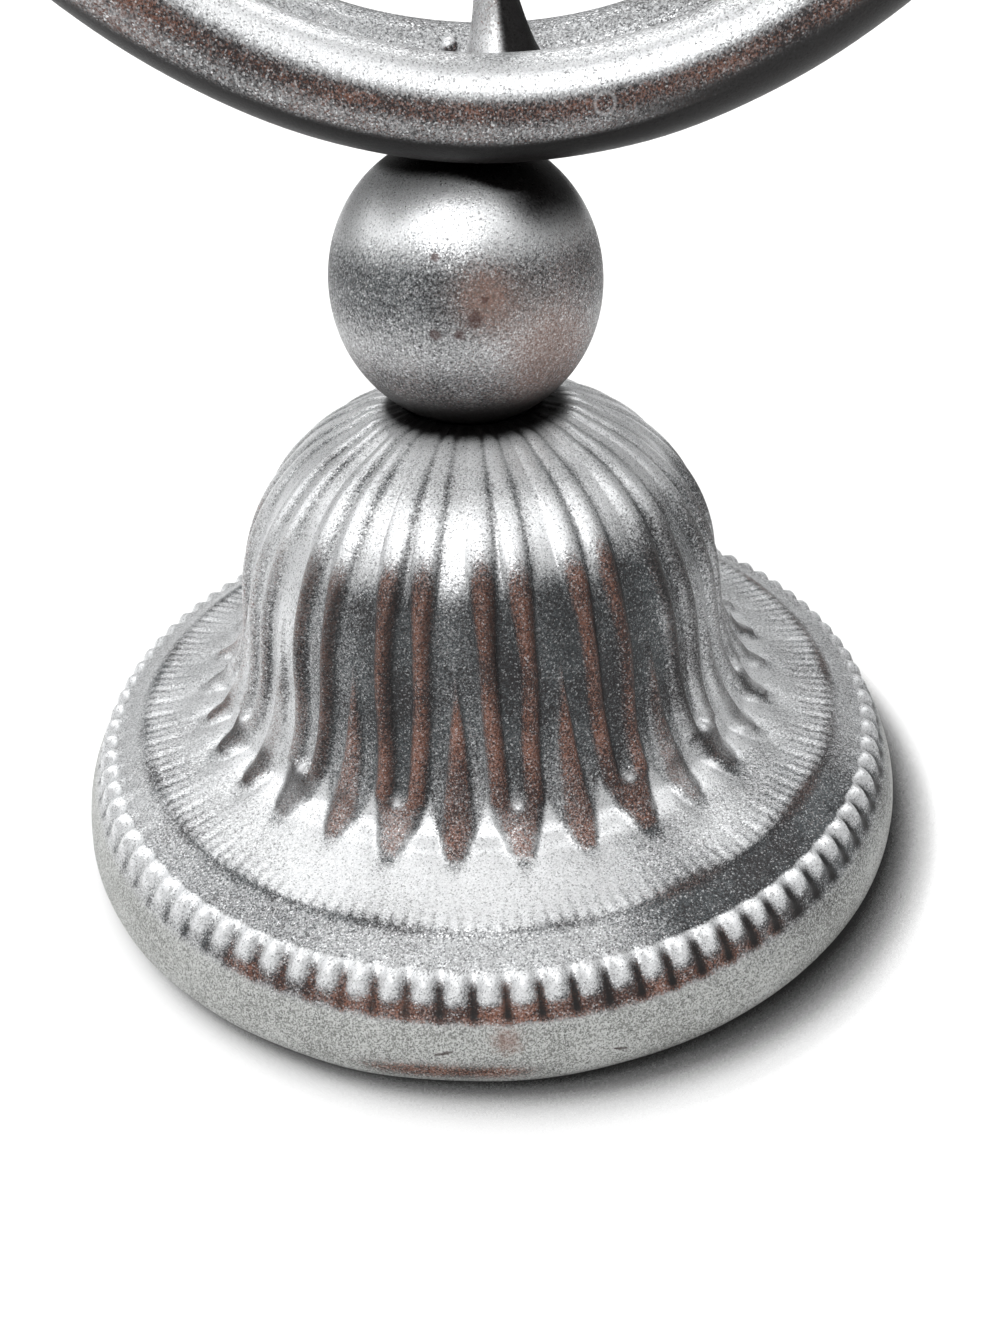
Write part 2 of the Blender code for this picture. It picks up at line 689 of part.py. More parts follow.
def valves():
    """Three valve drums threaded on the post, each with a domed cap in front and behind."""
    bore = POST_RADIUS + GAP
    hole = turned("post_hole", disc(bore, post_valley, post_top), SMALL_SIDES)
    hole.location = (POST_OFFSET, coil_depth, 0.0)
    half = VALVE_LENGTH / 2.0
    drum_outline = disc(VALVE_RADIUS, -half, half)
    cap_outline = [
        (0.0, VALVE_CAP_EDGE + VALVE_CAP_CROWN),
        (VALVE_CAP_RADIUS * 0.5, VALVE_CAP_EDGE + VALVE_CAP_CROWN * 0.75),
        (VALVE_CAP_RADIUS, VALVE_CAP_EDGE),
        (VALVE_CAP_RADIUS, 0.0),
        (0.0, 0.0),
    ]
    for number in range(1, VALVE_COUNT + 1):
        height = coil_level + VALVE_PITCH * (number - (VALVE_COUNT + 1) / 2.0)
        drum = turned(f"valve_drum_{number}", drum_outline, SMALL_SIDES)
        drum.location = (POST_OFFSET, coil_depth, height)
        drum.rotation_euler = (math.pi / 2.0, 0.0, 0.0)
        cut(drum, hole)
        paint(drum)
        for name, side in (("valve_cap", -1.0), ("valve_back", 1.0)):
            cap = turned(f"{name}_{number}", cap_outline, SMALL_SIDES)
            cap.location = (POST_OFFSET, coil_depth + side * (half + GAP), height)
            cap.rotation_euler = (-side * math.pi / 2.0, 0.0, 0.0)
            paint(cap)


for leftover in list(bpy.data.objects):
    bpy.data.objects.remove(leftover, do_unlink=True)

foot()
foot_pad()
ball()
tie()
coil()
ferrules()
lead()
neck()
bell()
candle_fitting()
stay_post()
valves()
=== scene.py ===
"""A french horn candle holder: a beaded bell foot, a ball, two turns of bar, and a bell with a candle cup.

Everything is in metres in the part's own frame: the foot stands on z = 0 round the Z axis, the coil lies in
the XZ plane, and the front faces -Y.
"""

import bpy
import numpy as np
from mathutils import Matrix


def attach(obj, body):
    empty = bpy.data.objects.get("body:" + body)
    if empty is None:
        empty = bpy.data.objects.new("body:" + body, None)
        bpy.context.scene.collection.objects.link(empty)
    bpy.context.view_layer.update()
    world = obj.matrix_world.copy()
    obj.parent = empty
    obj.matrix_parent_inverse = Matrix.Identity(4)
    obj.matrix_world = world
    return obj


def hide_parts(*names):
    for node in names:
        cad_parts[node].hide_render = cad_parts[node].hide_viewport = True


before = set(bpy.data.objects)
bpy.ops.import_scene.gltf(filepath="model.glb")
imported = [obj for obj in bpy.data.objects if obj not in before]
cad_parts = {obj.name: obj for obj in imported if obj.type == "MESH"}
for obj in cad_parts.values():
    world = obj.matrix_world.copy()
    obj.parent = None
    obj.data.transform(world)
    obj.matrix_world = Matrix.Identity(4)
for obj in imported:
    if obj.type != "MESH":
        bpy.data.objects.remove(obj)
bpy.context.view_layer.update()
bpy.context.scene.view_settings.view_transform = "Standard"


# Foot: a hollow bell cast in soft metal, with sixteen leaves and darts round its skirt and a ring of
# beads over a plain rim. It was dipped in a red-brown undercoat and sprayed with silver from above, so
# the brown shows on the crests that are rubbed bare. Light and shade are painted into its coat: tops
# and left sides lighter, corners, creases, front walls and right sides darker.

leaf_count = 16
bead_count = 96
leaf_turn = np.radians(2.0)
columns_of_foot = 864
bell_radius_of_foot = 0.0308
shoulder_level = 0.0279
shoulder_height = 0.0257
tongue_level = 0.0159
tongue_radius = 0.0373
flange_level = 0.0149
flange_radius = 0.0459
step_level = 0.0143
step_radius = 0.0461
ledge_level = 0.0133
ledge_radius = 0.0496
bead_level = 0.0099
bead_radius = 0.0533
rim_radius = 0.0555
rim_level = 0.0030
rim_base = 0.0003
rim_base_radius = 0.0536
seat_radius = 0.0083
seat_floor = 0.051153
web_level = 0.048153
rod_bore = 0.0033
leaf_relief = 0.00110
dart_relief = 0.00100
bead_relief = 0.0010
ripple_relief = 0.00004
peak_relief = 0.00045
dot_relief = 0.00030
furrow_depth = 0.00035
spray_way = np.array([-0.38, -0.06, 0.92])


def eased(value, low, high):
    """A smooth step: 0 below low, 1 above high and an S between them; it runs backwards if low > high."""
    share = np.clip((value - low) / (high - low), 0.0, 1.0)
    return share * share * (3.0 - 2.0 * share)


def mound(value, middle, width, power=2):
    """A smooth hump: e to the minus ((value - middle) / width)^power, so 1 on the middle."""
    return np.exp(-(((value - middle) / width) ** power))


def ridge(offset, power):
    """A rounded ridge: the cosine of a quarter turn times the offset, 0 past 1, raised to a power."""
    return np.cos(np.pi / 2.0 * np.clip(offset, -1.0, 1.0)) ** power


def waves(place, scale, seed):
    """Slow unevenness from -1 to 1: a sum of nine sines along fixed directions, each a bit finer."""
    dice = np.random.default_rng(seed)
    ways = dice.normal(size=(9, 3))
    ways /= np.linalg.norm(ways, axis=1, keepdims=True)
    pitch = scale * dice.uniform(0.6, 1.7, size=9)
    phase = dice.uniform(0.0, 2.0 * np.pi, size=9)
    return np.sin(place @ (ways * pitch[:, None]).T + phase).mean(axis=-1) * 2.0


def gun_reach(normals):
    """How much silver a face shows, as painted light and shade: it rises with its lean towards the light,
    above and to the left.
    """
    return eased(normals @ spray_way, -0.08, 0.52)


def skin(name, points, slot, replaced, looped=False, **painted):
    """A closed piece from a grid of points, rows by columns by 3, which wraps round its columns.

    A face joins each four neighbours, so the rows run down the outside when the columns turn
    anticlockwise. A looped grid also joins its last row to its first; otherwise a fan round the middle
    of each end row closes the piece. Each painted field becomes a vertex attribute. One is how much
    silver a point shows, and it paints light: if it is not given, the lean of the face towards a light
    above and to the left, so tops and left sides come out lighter; less the share of thin coat and
    painted shade.
    """
    rows, columns = points.shape[:2]
    index = np.arange(rows * columns).reshape(rows, columns)
    upper = index if looped else index[:-1]
    lower = np.roll(index, -1, axis=0) if looped else index[1:]
    right = np.roll(upper, -1, axis=1)
    opposite = np.roll(lower, -1, axis=1)
    faces = np.stack([upper, lower, opposite, right], axis=-1).reshape(-1, 4).tolist()
    places = points.reshape(-1, 3)
    fields = {key: np.broadcast_to(field, index.shape).ravel() for key, field in painted.items()}
    if not looped:
        ends = points[[0, -1]].mean(axis=1)
        places = np.concatenate([places, ends])
        top = index[0]
        bottom = index[-1]
        middle = np.full(columns, rows * columns)
        faces += np.stack([middle, top, np.roll(top, -1)], axis=-1).tolist()
        faces += np.stack([middle + 1, np.roll(bottom, -1), bottom], axis=-1).tolist()
        fields = {key: np.append(field, [field[0], field[-1]]) for key, field in fields.items()}
    mesh = bpy.data.meshes.new(name)
    mesh.from_pydata(places, [], faces)
    normals = np.empty(3 * len(places), np.float32)
    mesh.vertex_normals.foreach_get("vector", normals)
    reached = gun_reach(normals.reshape(-1, 3))
    fields["spray"] = fields.get("spray", reached) * (1.0 - fields.pop("thin", 0.0))
    for key, field in fields.items():
        attribute = mesh.attributes.new(key, "FLOAT", "POINT")
        attribute.data.foreach_set("value", field.astype(np.float32))
    mesh.shade_smooth()
    piece = bpy.data.objects.new(name, mesh)
    bpy.context.scene.collection.objects.link(piece)
    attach(piece, "root")
    if replaced:
        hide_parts(replaced)
    return piece


class Value:
    """A number on a node's socket. Arithmetic with it adds Math nodes to the same finish."""

    def __init__(self, finish, socket):
        self.finish = finish
        self.socket = socket

    def maths(self, operation, *terms):
        node = self.finish.add("ShaderNodeMath", {"operation": operation}, dict(enumerate(terms)))
        return Value(self.finish, node.outputs[0])

    def __add__(self, other):
        return self.maths("ADD", self, other)

    def __sub__(self, other):
        return self.maths("SUBTRACT", self, other)

    def __rsub__(self, other):
        return self.maths("SUBTRACT", other, self)

    def __mul__(self, other):
        return self.maths("MULTIPLY", self, other)

    def eased(self, low, high):
        """The same smooth step as for arrays, from low to high."""
        step = {"Value": self, "From Min": low, "From Max": high}
        node = self.finish.add("ShaderNodeMapRange", {"interpolation_type": "SMOOTHSTEP"}, step)
        return Value(self.finish, node.outputs[0])

    __radd__ = __add__
    __rmul__ = __mul__


class Finish:
    """A material made of nodes round one Principled shader."""

    def __init__(self, name):
        self.material = bpy.data.materials.new(name)
        self.material.use_nodes = True
        self.tree = self.material.node_tree
        self.shader = self.tree.nodes["Principled BSDF"]
        self.place = self.add("ShaderNodeTexCoord").outputs["Object"]

    def add(self, kind, settings=None, sockets=None):
        """A node of a kind, its settings set first, then its sockets' values or links."""
        node = self.tree.nodes.new(kind)
        for key, setting in (settings or {}).items():
            setattr(node, key, setting)
        for key, given in (sockets or {}).items():
            self.feed(node.inputs[key], given)
        return node

    def feed(self, socket, given):
        """Sets a socket, or links it to a value or to another socket."""
        given = given.socket if isinstance(given, Value) else given
        if isinstance(given, bpy.types.NodeSocket):
            self.tree.links.new(given, socket)
        else:
            socket.default_value = given

    def noise(self, scale, detail=2.0, roughness=0.5):
        """Cloudy noise round 0.5, with so many waves to the metre."""
        sockets = {"Vector": self.place, "Scale": scale, "Detail": detail, "Roughness": roughness}
        return Value(self, self.add("ShaderNodeTexNoise", None, sockets).outputs[0])

    def cells(self, scale):
        """Three separate random numbers for each small cell of the surface."""
        cells = self.add("ShaderNodeTexVoronoi", None, {"Vector": self.place, "Scale": scale})
        parts = self.add("ShaderNodeSeparateColor", None, {0: cells.outputs["Color"]})
        return [Value(self, parts.outputs[channel]) for channel in range(3)]

    def painted(self, name):
        """A field that the piece's own mesh carries."""
        node = self.add("ShaderNodeAttribute", {"attribute_name": name})
        return Value(self, node.outputs["Fac"])

    def far_from(self, spot):
        """The distance from a spot on the piece, in metres."""
        node = self.add("ShaderNodeVectorMath", {"operation": "DISTANCE"}, {0: self.place, 1: spot})
        return Value(self, node.outputs["Value"])

    def blend(self, share, first, second):
        """One colour turned into another by a share."""
        return self.add("ShaderNodeMix", {"data_type": "RGBA"}, {0: share, 6: first, 7: second}).outputs[2]

    def bump(self, height, strength, depth):
        """The normal of a surface with a fine relief, so deep in metres."""
        sockets = {"Strength": strength, "Distance": depth, "Height": height}
        return self.add("ShaderNodeBump", None, sockets).outputs[0]

    def wear(self, piece, **outputs):
        """Feeds the shader's sockets and puts the finish on a piece in place of what it has."""
        for key, given in outputs.items():
            self.feed(self.shader.inputs[key.replace("_", " ").title()], given)
        piece.data.materials.clear()
        piece.data.materials.append(self.material)


silver = (0.92, 0.93, 0.94, 1.0)
silver_dim = (0.76, 0.77, 0.78, 1.0)
chalk = (0.60, 0.61, 0.595, 1.0)
chalk_dark = (0.27, 0.275, 0.26, 1.0)
wash = (0.058, 0.070, 0.075, 1.0)
wash_dark = (0.024, 0.021, 0.022, 1.0)
undercoat = (0.235, 0.100, 0.064, 1.0)
undercoat_dark = (0.040, 0.022, 0.019, 1.0)
soot = (0.010, 0.009, 0.009, 1.0)
flakes_to_metre = 7500.0
fine_to_metre = 7000.0
grains_to_metre = 3800.0
clouds_to_metre = 130.0
paint_relief = 0.00008


def silver_paint(name, piece, marks=None):
    """Sprayed silver: bright flakes, one to a cell, that lie as thick as the spray field says; that field
    also holds painted light and shade.

    Between the flakes a dark wash shows, or the brown undercoat where the bare field rises past a noise;
    that field also holds painted reflections. A third field blackens the paint where shade is painted,
    matte is a chalky coat of grey, and dry is powdery overspray, which is as pale as the flakes but does
    not mirror. Marks adds what one piece alone has.
    """
    paint = Finish(name)
    bright, tilt, gloss = paint.cells(flakes_to_metre)
    fine = paint.noise(fine_to_metre, 1.0)
    grain = paint.noise(grains_to_metre, 2.0, 0.65)
    cloud = paint.noise(clouds_to_metre, 3.0, 0.55)
    bare = paint.painted("bare") + 0.9 * (grain - 0.5) + 0.5 * (cloud - 0.5) + 0.4 * (tilt - 0.5)
    bare = bare.eased(0.12, 0.88)
    dusk = paint.painted("dusk") + 0.30 * (grain - 0.5)
    dusk = dusk.eased(0.12, 0.95)
    matte = paint.painted("matte")
    spray = paint.painted("spray") * (1.0 - 0.70 * bare)
    cover = 0.04 + 0.84 * spray + 0.34 * (bright - 0.5) + 0.9 * (grain - 0.5) + 0.25 * (cloud - 0.5)
    cover = cover.eased(0.0, 1.0) * (1.0 - 0.45 * bright.eased(0.12, 0.04))
    cover = cover + 0.30 * bright.eased(0.93, 0.97)
    speckle = grain + 0.7 * (tilt - 0.5) + 0.7 * (cloud - 0.5)
    chalked = paint.blend(speckle.eased(0.30, 0.62), chalk_dark, chalk)
    flakes = paint.blend(matte, paint.blend(gloss, silver_dim, silver), chalked)
    mottle = grain + 0.9 * (cloud - 0.5) + 0.35 * (tilt - 0.5)
    rust = paint.blend(mottle.eased(0.34, 0.70), undercoat_dark, undercoat)
    grime = paint.blend(mottle.eased(0.30, 0.70), wash_dark, wash)
    shown = paint.blend(cover, paint.blend(bare, grime, rust), flakes)
    # Painted shade: the shade field blackens the paint.
    shown = paint.blend(dusk, shown, soot)
    if marks:
        shown = marks(paint, shown)
    uneven = paint.bump(0.5 * fine + 0.4 * tilt + 0.8 * grain, 0.4, paint_relief)
    metal = cover * (0.70 - 0.35 * matte) * (1.0 - paint.painted("dry"))
    rough = 0.46 - 0.17 * cover + 0.06 * gloss + 0.14 * matte
    paint.shader.inputs["Specular IOR Level"].default_value = 0.3
    paint.wear(piece, base_color=shown, metallic=metal, roughness=rough, normal=uneven)


def sprayed(name, finish, points, slot, replaced, marks=None, looped=False, **painted):
    """A skin with a coat of silver paint of its own."""
    silver_paint(finish, skin(name, points, slot, replaced, looped, **painted), marks)


def foot_rows():
    """The foot's outline as radius and height, from the seat's edge over the bell to the lower edge.

    The shoulder's radius falls as (1 - share^1.8)^0.37 with its height, the flare's adds (1 - share)^1.65,
    and the flange, the ledge, the bead ring and the rim follow as short curved steps.
    """
    reach = (1.0 - (seat_radius / bell_radius_of_foot) ** (1.0 / 0.37)) ** (1.0 / 1.8)
    share = np.sin(np.linspace(1.0, 0.0, 32) * np.pi / 2.0)
    radius = [bell_radius_of_foot * (1.0 - (share * reach) ** 1.8) ** 0.37]
    height = [shoulder_level + shoulder_height * share]
    share = np.linspace(1.0, 0.0, 28)[1:]
    radius += [bell_radius_of_foot + (tongue_radius - bell_radius_of_foot) * (1.0 - share) ** 1.65]
    height += [tongue_level + (shoulder_level - tongue_level) * share]
    share = np.linspace(0.0, 1.0, 9)[1:]
    radius += [tongue_radius + (flange_radius - tongue_radius) * share]
    height += [flange_level + (tongue_level - flange_level) * (1.0 - share) ** 2]
    share = np.array([0.0, 0.3, 0.7, 1.0])
    radius += [step_radius + (ledge_radius - step_radius) * share]
    height += [step_level - (step_level - ledge_level) * share]
    share = np.linspace(0.0, 1.0, 14)[1:]
    radius += [ledge_radius + (bead_radius - ledge_radius) * share]
    height += [ledge_level - (ledge_level - bead_level) * share]
    share = np.linspace(0.0, 1.0, 8)[1:]
    radius += [bead_radius + (rim_radius - bead_radius) * np.sin(share * np.pi / 2.0)]
    height += [bead_level + (rim_level - bead_level) * share]
    share = np.array([0.35, 0.75, 1.0])
    radius += [rim_radius + (rim_base_radius - rim_radius) * share**1.6]
    height += [rim_level + (rim_base - rim_level) * share]
    return np.concatenate(radius), np.concatenate(height)


def bridged(radius, height, low, high):
    """The same outline with one cubic over a stretch of it, which keeps the slopes at both of its ends."""
    inside = (height > low) & (height < high) & (radius < tongue_radius)
    ends = np.interp([low, low + 1e-5, high - 1e-5, high], height[::-1], radius[::-1])
    steps = np.array([ends[1] - ends[0], ends[3] - ends[2]]) / 1e-5 * (high - low)
    share = np.clip((height - low) / (high - low), 0.0, 1.0)
    cubic = ends[0] * (1.0 + 2.0 * share) * (1.0 - share) ** 2 + ends[3] * share**2 * (3.0 - 2.0 * share)
    cubic = cubic + steps[0] * share * (1.0 - share) ** 2 + steps[1] * share**2 * (share - 1.0)
    return np.where(inside, cubic, radius)


foot_r, foot_z = foot_rows()
foot_r = bridged(foot_r, foot_z, 0.0205, 0.0355)
foot_angle = leaf_turn - np.pi / 2.0 + 2.0 * np.pi * np.arange(columns_of_foot) / columns_of_foot
z = foot_z[:, None]
r = foot_r[:, None]
turn = ((foot_angle + 1.5 * np.pi) % (2.0 * np.pi) - np.pi)[None, :]
from_leaf = foot_angle - leaf_turn + np.pi / 2.0
sideways = ((leaf_count * from_leaf / np.pi + 1.0) % 2.0 - 1.0)[None, :]
across = np.abs(sideways)


def sector(start, full, fading, end):
    """A stretch of the foot's turn: it rises from start to full, and falls from fading to end."""
    return eased(turn, start, full) * eased(turn, end, fading)


# A leaf is two rails that run down side by side and close to a pointed tongue; across is 0 on its middle
# and 1 on the middle of the dart beside it. The rails are broad and low on the shoulder.
low = z - 0.6 * np.maximum(r - tongue_radius, 0.0)
rail_middle = 0.30 + 0.08 * eased(z, 0.0205, 0.0340)
rail_half = 0.20 + 0.14 * eased(z, 0.036, 0.046)
rail = ridge((across - rail_middle) / rail_half, 0.8)
tongue_half = 0.46 * np.clip((low - 0.0151) / 0.0050, 0.0, 1.0) ** 0.48 + 1e-6
tongue = ridge(across / tongue_half, 0.6) * eased(low, 0.0151, 0.0158)
rail = np.maximum(rail * eased(z, 0.0194, 0.0204), tongue * eased(z, 0.0210, 0.0198))
dart_half = 0.0020 * np.clip((0.0370 - low) / 0.0185, 0.0, 1.0) ** 1.15
dart_end = np.clip(0.0182 - low, 0.0, 1.0) / 0.0028
dart_half = dart_half * np.sqrt(np.clip(1.0 - dart_end**2, 0.0, 1.0))
dart_reach = dart_half / (np.pi / leaf_count * r) + 1e-6
dart = ridge((1.0 - across) / dart_reach, 0.7) * np.clip(dart_half / 0.0009, 0.0, 1.0)
fading = (0.22 + 0.78 * eased(z, 0.0500, 0.0400)) * eased(z, 0.0540, 0.0525)
relief = fading * np.maximum(leaf_relief * rail, dart_relief * dart)
relief = relief - 0.90 * leaf_relief * fading * eased(z, 0.0155, 0.0180)
relief = relief + 0.00035 * mound(r, 0.0122, 0.0017) * (z > 0.0450)

# The flange rises in a low peak between each two tips, and fine ripples run out over it to the ledge. A dot
# stands at the foot of each leaf's groove, and the step down to the ledge is filled in at the sides.
beads_round = bead_count * from_leaf
on_flange = eased(r, tongue_radius - 0.0010, tongue_radius + 0.0012) * eased(z, 0.0144, 0.0150)
tips = np.abs((2.0 * across) % 2.0 - 1.0)
peaks = eased(tips, 0.95, 0.15) * eased(r, 0.0425, 0.0380) * eased(z, 0.0182, 0.0164)
relief = relief + peak_relief * peaks
dots = mound(across, 0.0, 0.11) * mound(z, 0.0201, 0.00048) * (r < tongue_radius)
relief = relief + dot_relief * dots
stepped = sector(-1.15, -0.75, 0.80, 1.15)
relief = relief + 0.0005 * (1.0 - stepped) * eased(r, 0.0492, 0.0462) * (r > 0.0460) * (z > 0.0130)
relief = relief + ripple_relief * on_flange * np.cos(beads_round) * eased(r, 0.0400, 0.0440)

# Each bead is a short ridge that grows out of the ledge's edge, swells and runs out into the furrow below.
down = np.clip((foot_r - ledge_radius) / (bead_radius - ledge_radius), 0.0, 1.0)
on_beads = (foot_r >= ledge_radius - 1e-9) & (foot_z >= bead_level - 1e-9)
swell = (eased(down, -0.10, 0.30) * eased(down, 1.0, 0.36))[:, None]
beside = ((beads_round / np.pi) % 2.0 - 1.0)[None, :]
bead = ridge((beside + 0.06) / 0.74, 0.9) * swell * on_beads[:, None]
relief = relief + bead_relief * bead
furrow = mound(z, bead_level, 0.0007) * (r > bead_radius - 0.0010)
relief = relief - furrow_depth * furrow

# The relief stands square to the outline. The inside is a plain wall with the rod's bore and the ball's seat.
slope_r = np.gradient(foot_r)
slope_z = np.gradient(foot_z)
steep = np.hypot(slope_r, slope_z)
out = r - relief * (slope_z / steep)[:, None]
up = z + relief * (slope_r / steep)[:, None]
foot_outside = np.stack([out * np.cos(foot_angle), out * np.sin(foot_angle), up], axis=-1)
foot_outside += 0.00010 * waves(foot_outside, 260.0, 1)[..., None] * np.array([1.0, 1.0, 0.4])
inside_r = np.array([0.0514, 0.0514, 0.0476, 0.0476, 0.0450, 0.0373, 0.0330, 0.0278, 0.0262, 0.0200, 0.0110])
inside_z = np.array([0.0003, 0.0021, 0.0021, 0.0080, 0.0105, 0.0119, 0.0160, 0.0230, 0.0350, 0.0445, 0.0478])
inside_r = np.concatenate([inside_r, [rod_bore, rod_bore, 0.0056, 0.0078]])
inside_z = np.concatenate([inside_z, [web_level, seat_floor, seat_floor, 0.0532]])
foot_inside = np.stack([
    inside_r[:, None] * np.cos(foot_angle),
    inside_r[:, None] * np.sin(foot_angle),
    np.broadcast_to(inside_z[:, None], (len(inside_z), columns_of_foot)),
], axis=-1)
foot_points = np.concatenate([foot_outside, foot_inside])
along = np.gradient(foot_outside, axis=0)
around = np.roll(foot_outside, -1, axis=1) - np.roll(foot_outside, 1, axis=1)
facing = np.cross(along, around)
facing /= np.linalg.norm(facing, axis=-1, keepdims=True)

# Zones of the foot's paint. Turn is the angle from the front, to the right where it is positive, and each
# sector is a stretch of it. The skirt is the worn wall of the bell, from the white shoulder down to a ragged
# edge among the tips, and a flank is the shaded side of a rail.
crest = np.maximum(rail, dart)
front = sector(-1.15, -0.50, 0.56, 0.92)
middle_front = sector(-0.75, -0.45, 0.45, 0.75)
left_zone = sector(-1.75, -1.25, -0.72, -0.40)
far_left = eased(turn, -0.55, -0.90)
right_side = sector(0.20, 0.75, 1.9, 2.7)
far_right = sector(0.45, 0.75, 2.2, 2.9)
right_fill = sector(0.66, 0.98, 2.2, 2.9)
right_of_middle = eased(turn, -0.1, 0.5)
unrolled = np.broadcast_arrays(14.0 * np.cos(turn), 14.0 * np.sin(turn), 90.0 * z)
streak = waves(np.stack(unrolled, axis=-1), 1.6, 13)
edge = 0.0146 + 0.0060 * np.clip(1.0 - tips / 0.85, 0.0, 1.0) ** 1.2
skirt = eased(z - 0.0010 * streak - 0.0016 * crest, 0.0452, 0.0405)
skirt = skirt * eased(low, edge - 0.0012, edge + 0.0012) * (1.0 - 0.9 * peaks)
tongue = tongue * eased(low, 0.0205, 0.0185)
left_tongue = tongue * eased(turn, 0.40, 0.05)
tip_ends = np.maximum(tongue, dart * eased(low, 0.0205, 0.0185))
crest_line = eased(crest, 0.3, 0.95) * skirt
flank_half = 0.11 + 0.04 * eased(z, 0.0400, 0.0460)
beyond = sideways - 0.14 - 0.18 * eased(z, 0.0400, 0.0450)
flank = mound(beyond, rail_middle, flank_half) + mound(beyond, -rail_middle, flank_half)
shoulder_flank = flank * eased(z, 0.0425, 0.0450)
collar = mound(r, 0.0178, 0.0024) * (z > 0.0450)
gap_width = 1.0 + 0.5 * eased(turn, 0.05, 0.60)
between = mound(beside, 0.86, 0.34 * gap_width) + mound(beside, -1.14, 0.30 * gap_width)
gaps = on_beads[:, None] * np.clip(between, 0.0, 1.0) * eased(down, 0.12, 0.50)[:, None]
sunk = on_beads[:, None] * eased(down, 0.50, 0.95)[:, None]
crease = mound(r, 0.0460, 0.00030) * (z > 0.0138) * (0.6 + 0.4 * streak)
on_ledge = (r > 0.0459) & (r < 0.0500) & (z > 0.0120)
ripples = eased(np.cos(2.0 * beads_round), -0.3, 0.9)[None, :] * eased(r, 0.0390 + 0.0030 * front, 0.0458)
chipped = eased(np.abs(z - 0.0040), 0.0014, 0.0004) * mound(turn, -0.15, 0.17, 4) * (r > bead_radius)

# Bare: brown on the rubbed rails, in a stain under the beads, between them, and along a chip in the rim.
worn = mound(turn, 0.08, 0.62)
stain = mound(turn, 0.02, 0.38, 4) + 0.7 * mound(turn, -0.58, 0.05)
rubbed = eased(crest, 0.0, 0.95) * skirt * (0.38 + 0.52 * worn) * (1.0 - 0.6 * far_right)
rubbed = rubbed - 0.22 * left_tongue + 0.85 * furrow * stain
rubbed = rubbed * (1.0 - dots) + 0.90 * chipped
rubbed = rubbed + (0.60 * gaps + 0.35 * sunk) * middle_front + 0.45 * crease * right_of_middle

# Painted shade: black between the beads, in the crease, under the ball, round the tips, along the
# rails' right flanks and down the walls in front.
wall_dusk = 0.10 + 0.30 * flank + 0.22 * eased(z, 0.0270, 0.0400) + 0.12 * streak
missed = (
    (0.08 + 0.76 * eased(turn, -0.8, 0.0)) * gaps
    + 0.15 * furrow
    + (0.25 + 0.4 * right_of_middle) * crease
    + eased(r, 0.0124 + 0.0016 * np.cos(turn - 0.7), 0.0096)
    + (0.26 * tip_ends + 0.30 * crest_line) * left_zone
    + 1.30 * tip_ends * (1.0 - tip_ends) * front
    + 0.20 * shoulder_flank * front
    + 0.06 * collar
    + wall_dusk * skirt * front * (z > 0.0195)
    + 0.50 * crest_line * far_right
)
missed = np.clip(missed, 0.0, 1.0)

# Thin coat and painted shade: little silver, so a darker wash, on the front walls, the ledge, the
# flange's sides and ripples, the rails' right flanks and below the beads, which paints shade on them,
# with the ledge and the flange darkening towards their sides.
wall_thin = (0.88 - 0.16 * eased(z, 0.0275, 0.0205)) * front * (1.0 - 0.55 * left_tongue)
wall_thin = wall_thin + 0.18 * streak + flank * (1.0 - front) * (0.35 + 0.35 * eased(turn, -0.2, 0.2))
ledge_thin = 0.40 + 0.22 * sector(-1.20, -0.75, -0.6, -0.2)
ledge_thin = ledge_thin + (0.66 * eased(turn, 1.20, 0.75) + 0.14) * eased(turn, 0.12, 0.50) * (turn < 2.6)
flange_thin = 0.46 * eased(turn, 0.02, 0.40) + 0.36 * eased(turn, -0.45, -1.0)
flange_thin = flange_thin + 0.32 * ripples + 0.10 * streak
starved = (
    wall_thin * skirt
    + ledge_thin * on_ledge
    + flange_thin * on_flange
    + (0.45 + 0.25 * left_zone) * tip_ends * (1.0 - front)
    + (0.75 - 0.4 * far_left) * sunk
    + (0.9 - 0.5 * far_left) * gaps
    + 0.45 * crease
    + 0.48 * shoulder_flank
    + 0.26 * collar
    + 0.55 * far_right * eased(z, 0.0340, 0.0400) * eased(z, 0.0485, 0.0440)
    + 0.6 * chipped
)
starved = np.clip(starved, 0.0, 1.0) * (1.0 - 0.95 * dots)

# Matte on the rim below the beads, painted light on the foot's right side below the shoulder and painted
# shade on the rim's upper right, and dry overspray on the flange.
chalky = eased(z, bead_level + 0.0002, bead_level - 0.0012) * (r > bead_radius - 0.0004)
reached = np.maximum(gun_reach(facing), 0.50 * right_fill * (z < 0.0460))
reached = reached + (1.0 - 0.45 * right_side * eased(z, 0.0050, 0.0090) - reached) * chalky
powdery = 0.90 * on_flange * eased(turn, 0.34, 0.00) + 0.75 * bead
powdery = powdery * sector(-1.30, -0.60, 0.40, 1.00)


def with_inside(field, inside=0.0):
    """A field of the foot's outside, carried on over the rows of its inside at one value."""
    hidden = np.full((len(inside_r), columns_of_foot), inside)
    return np.concatenate([np.broadcast_to(field, out.shape), hidden])


scratches = {
    (-0.00968, -0.05412, 0.00608): (-0.00744, -0.05428, 0.00664),
    (0.00860, -0.05452, 0.00510): (0.01010, -0.05430, 0.00470),
    (-0.02300, -0.04980, 0.00540): (-0.02210, -0.05030, 0.00500),
    (0.01520, -0.05290, 0.00330): (0.01660, -0.05245, 0.00350),
}
smudge = (-0.00220, -0.05490, 0.00790)


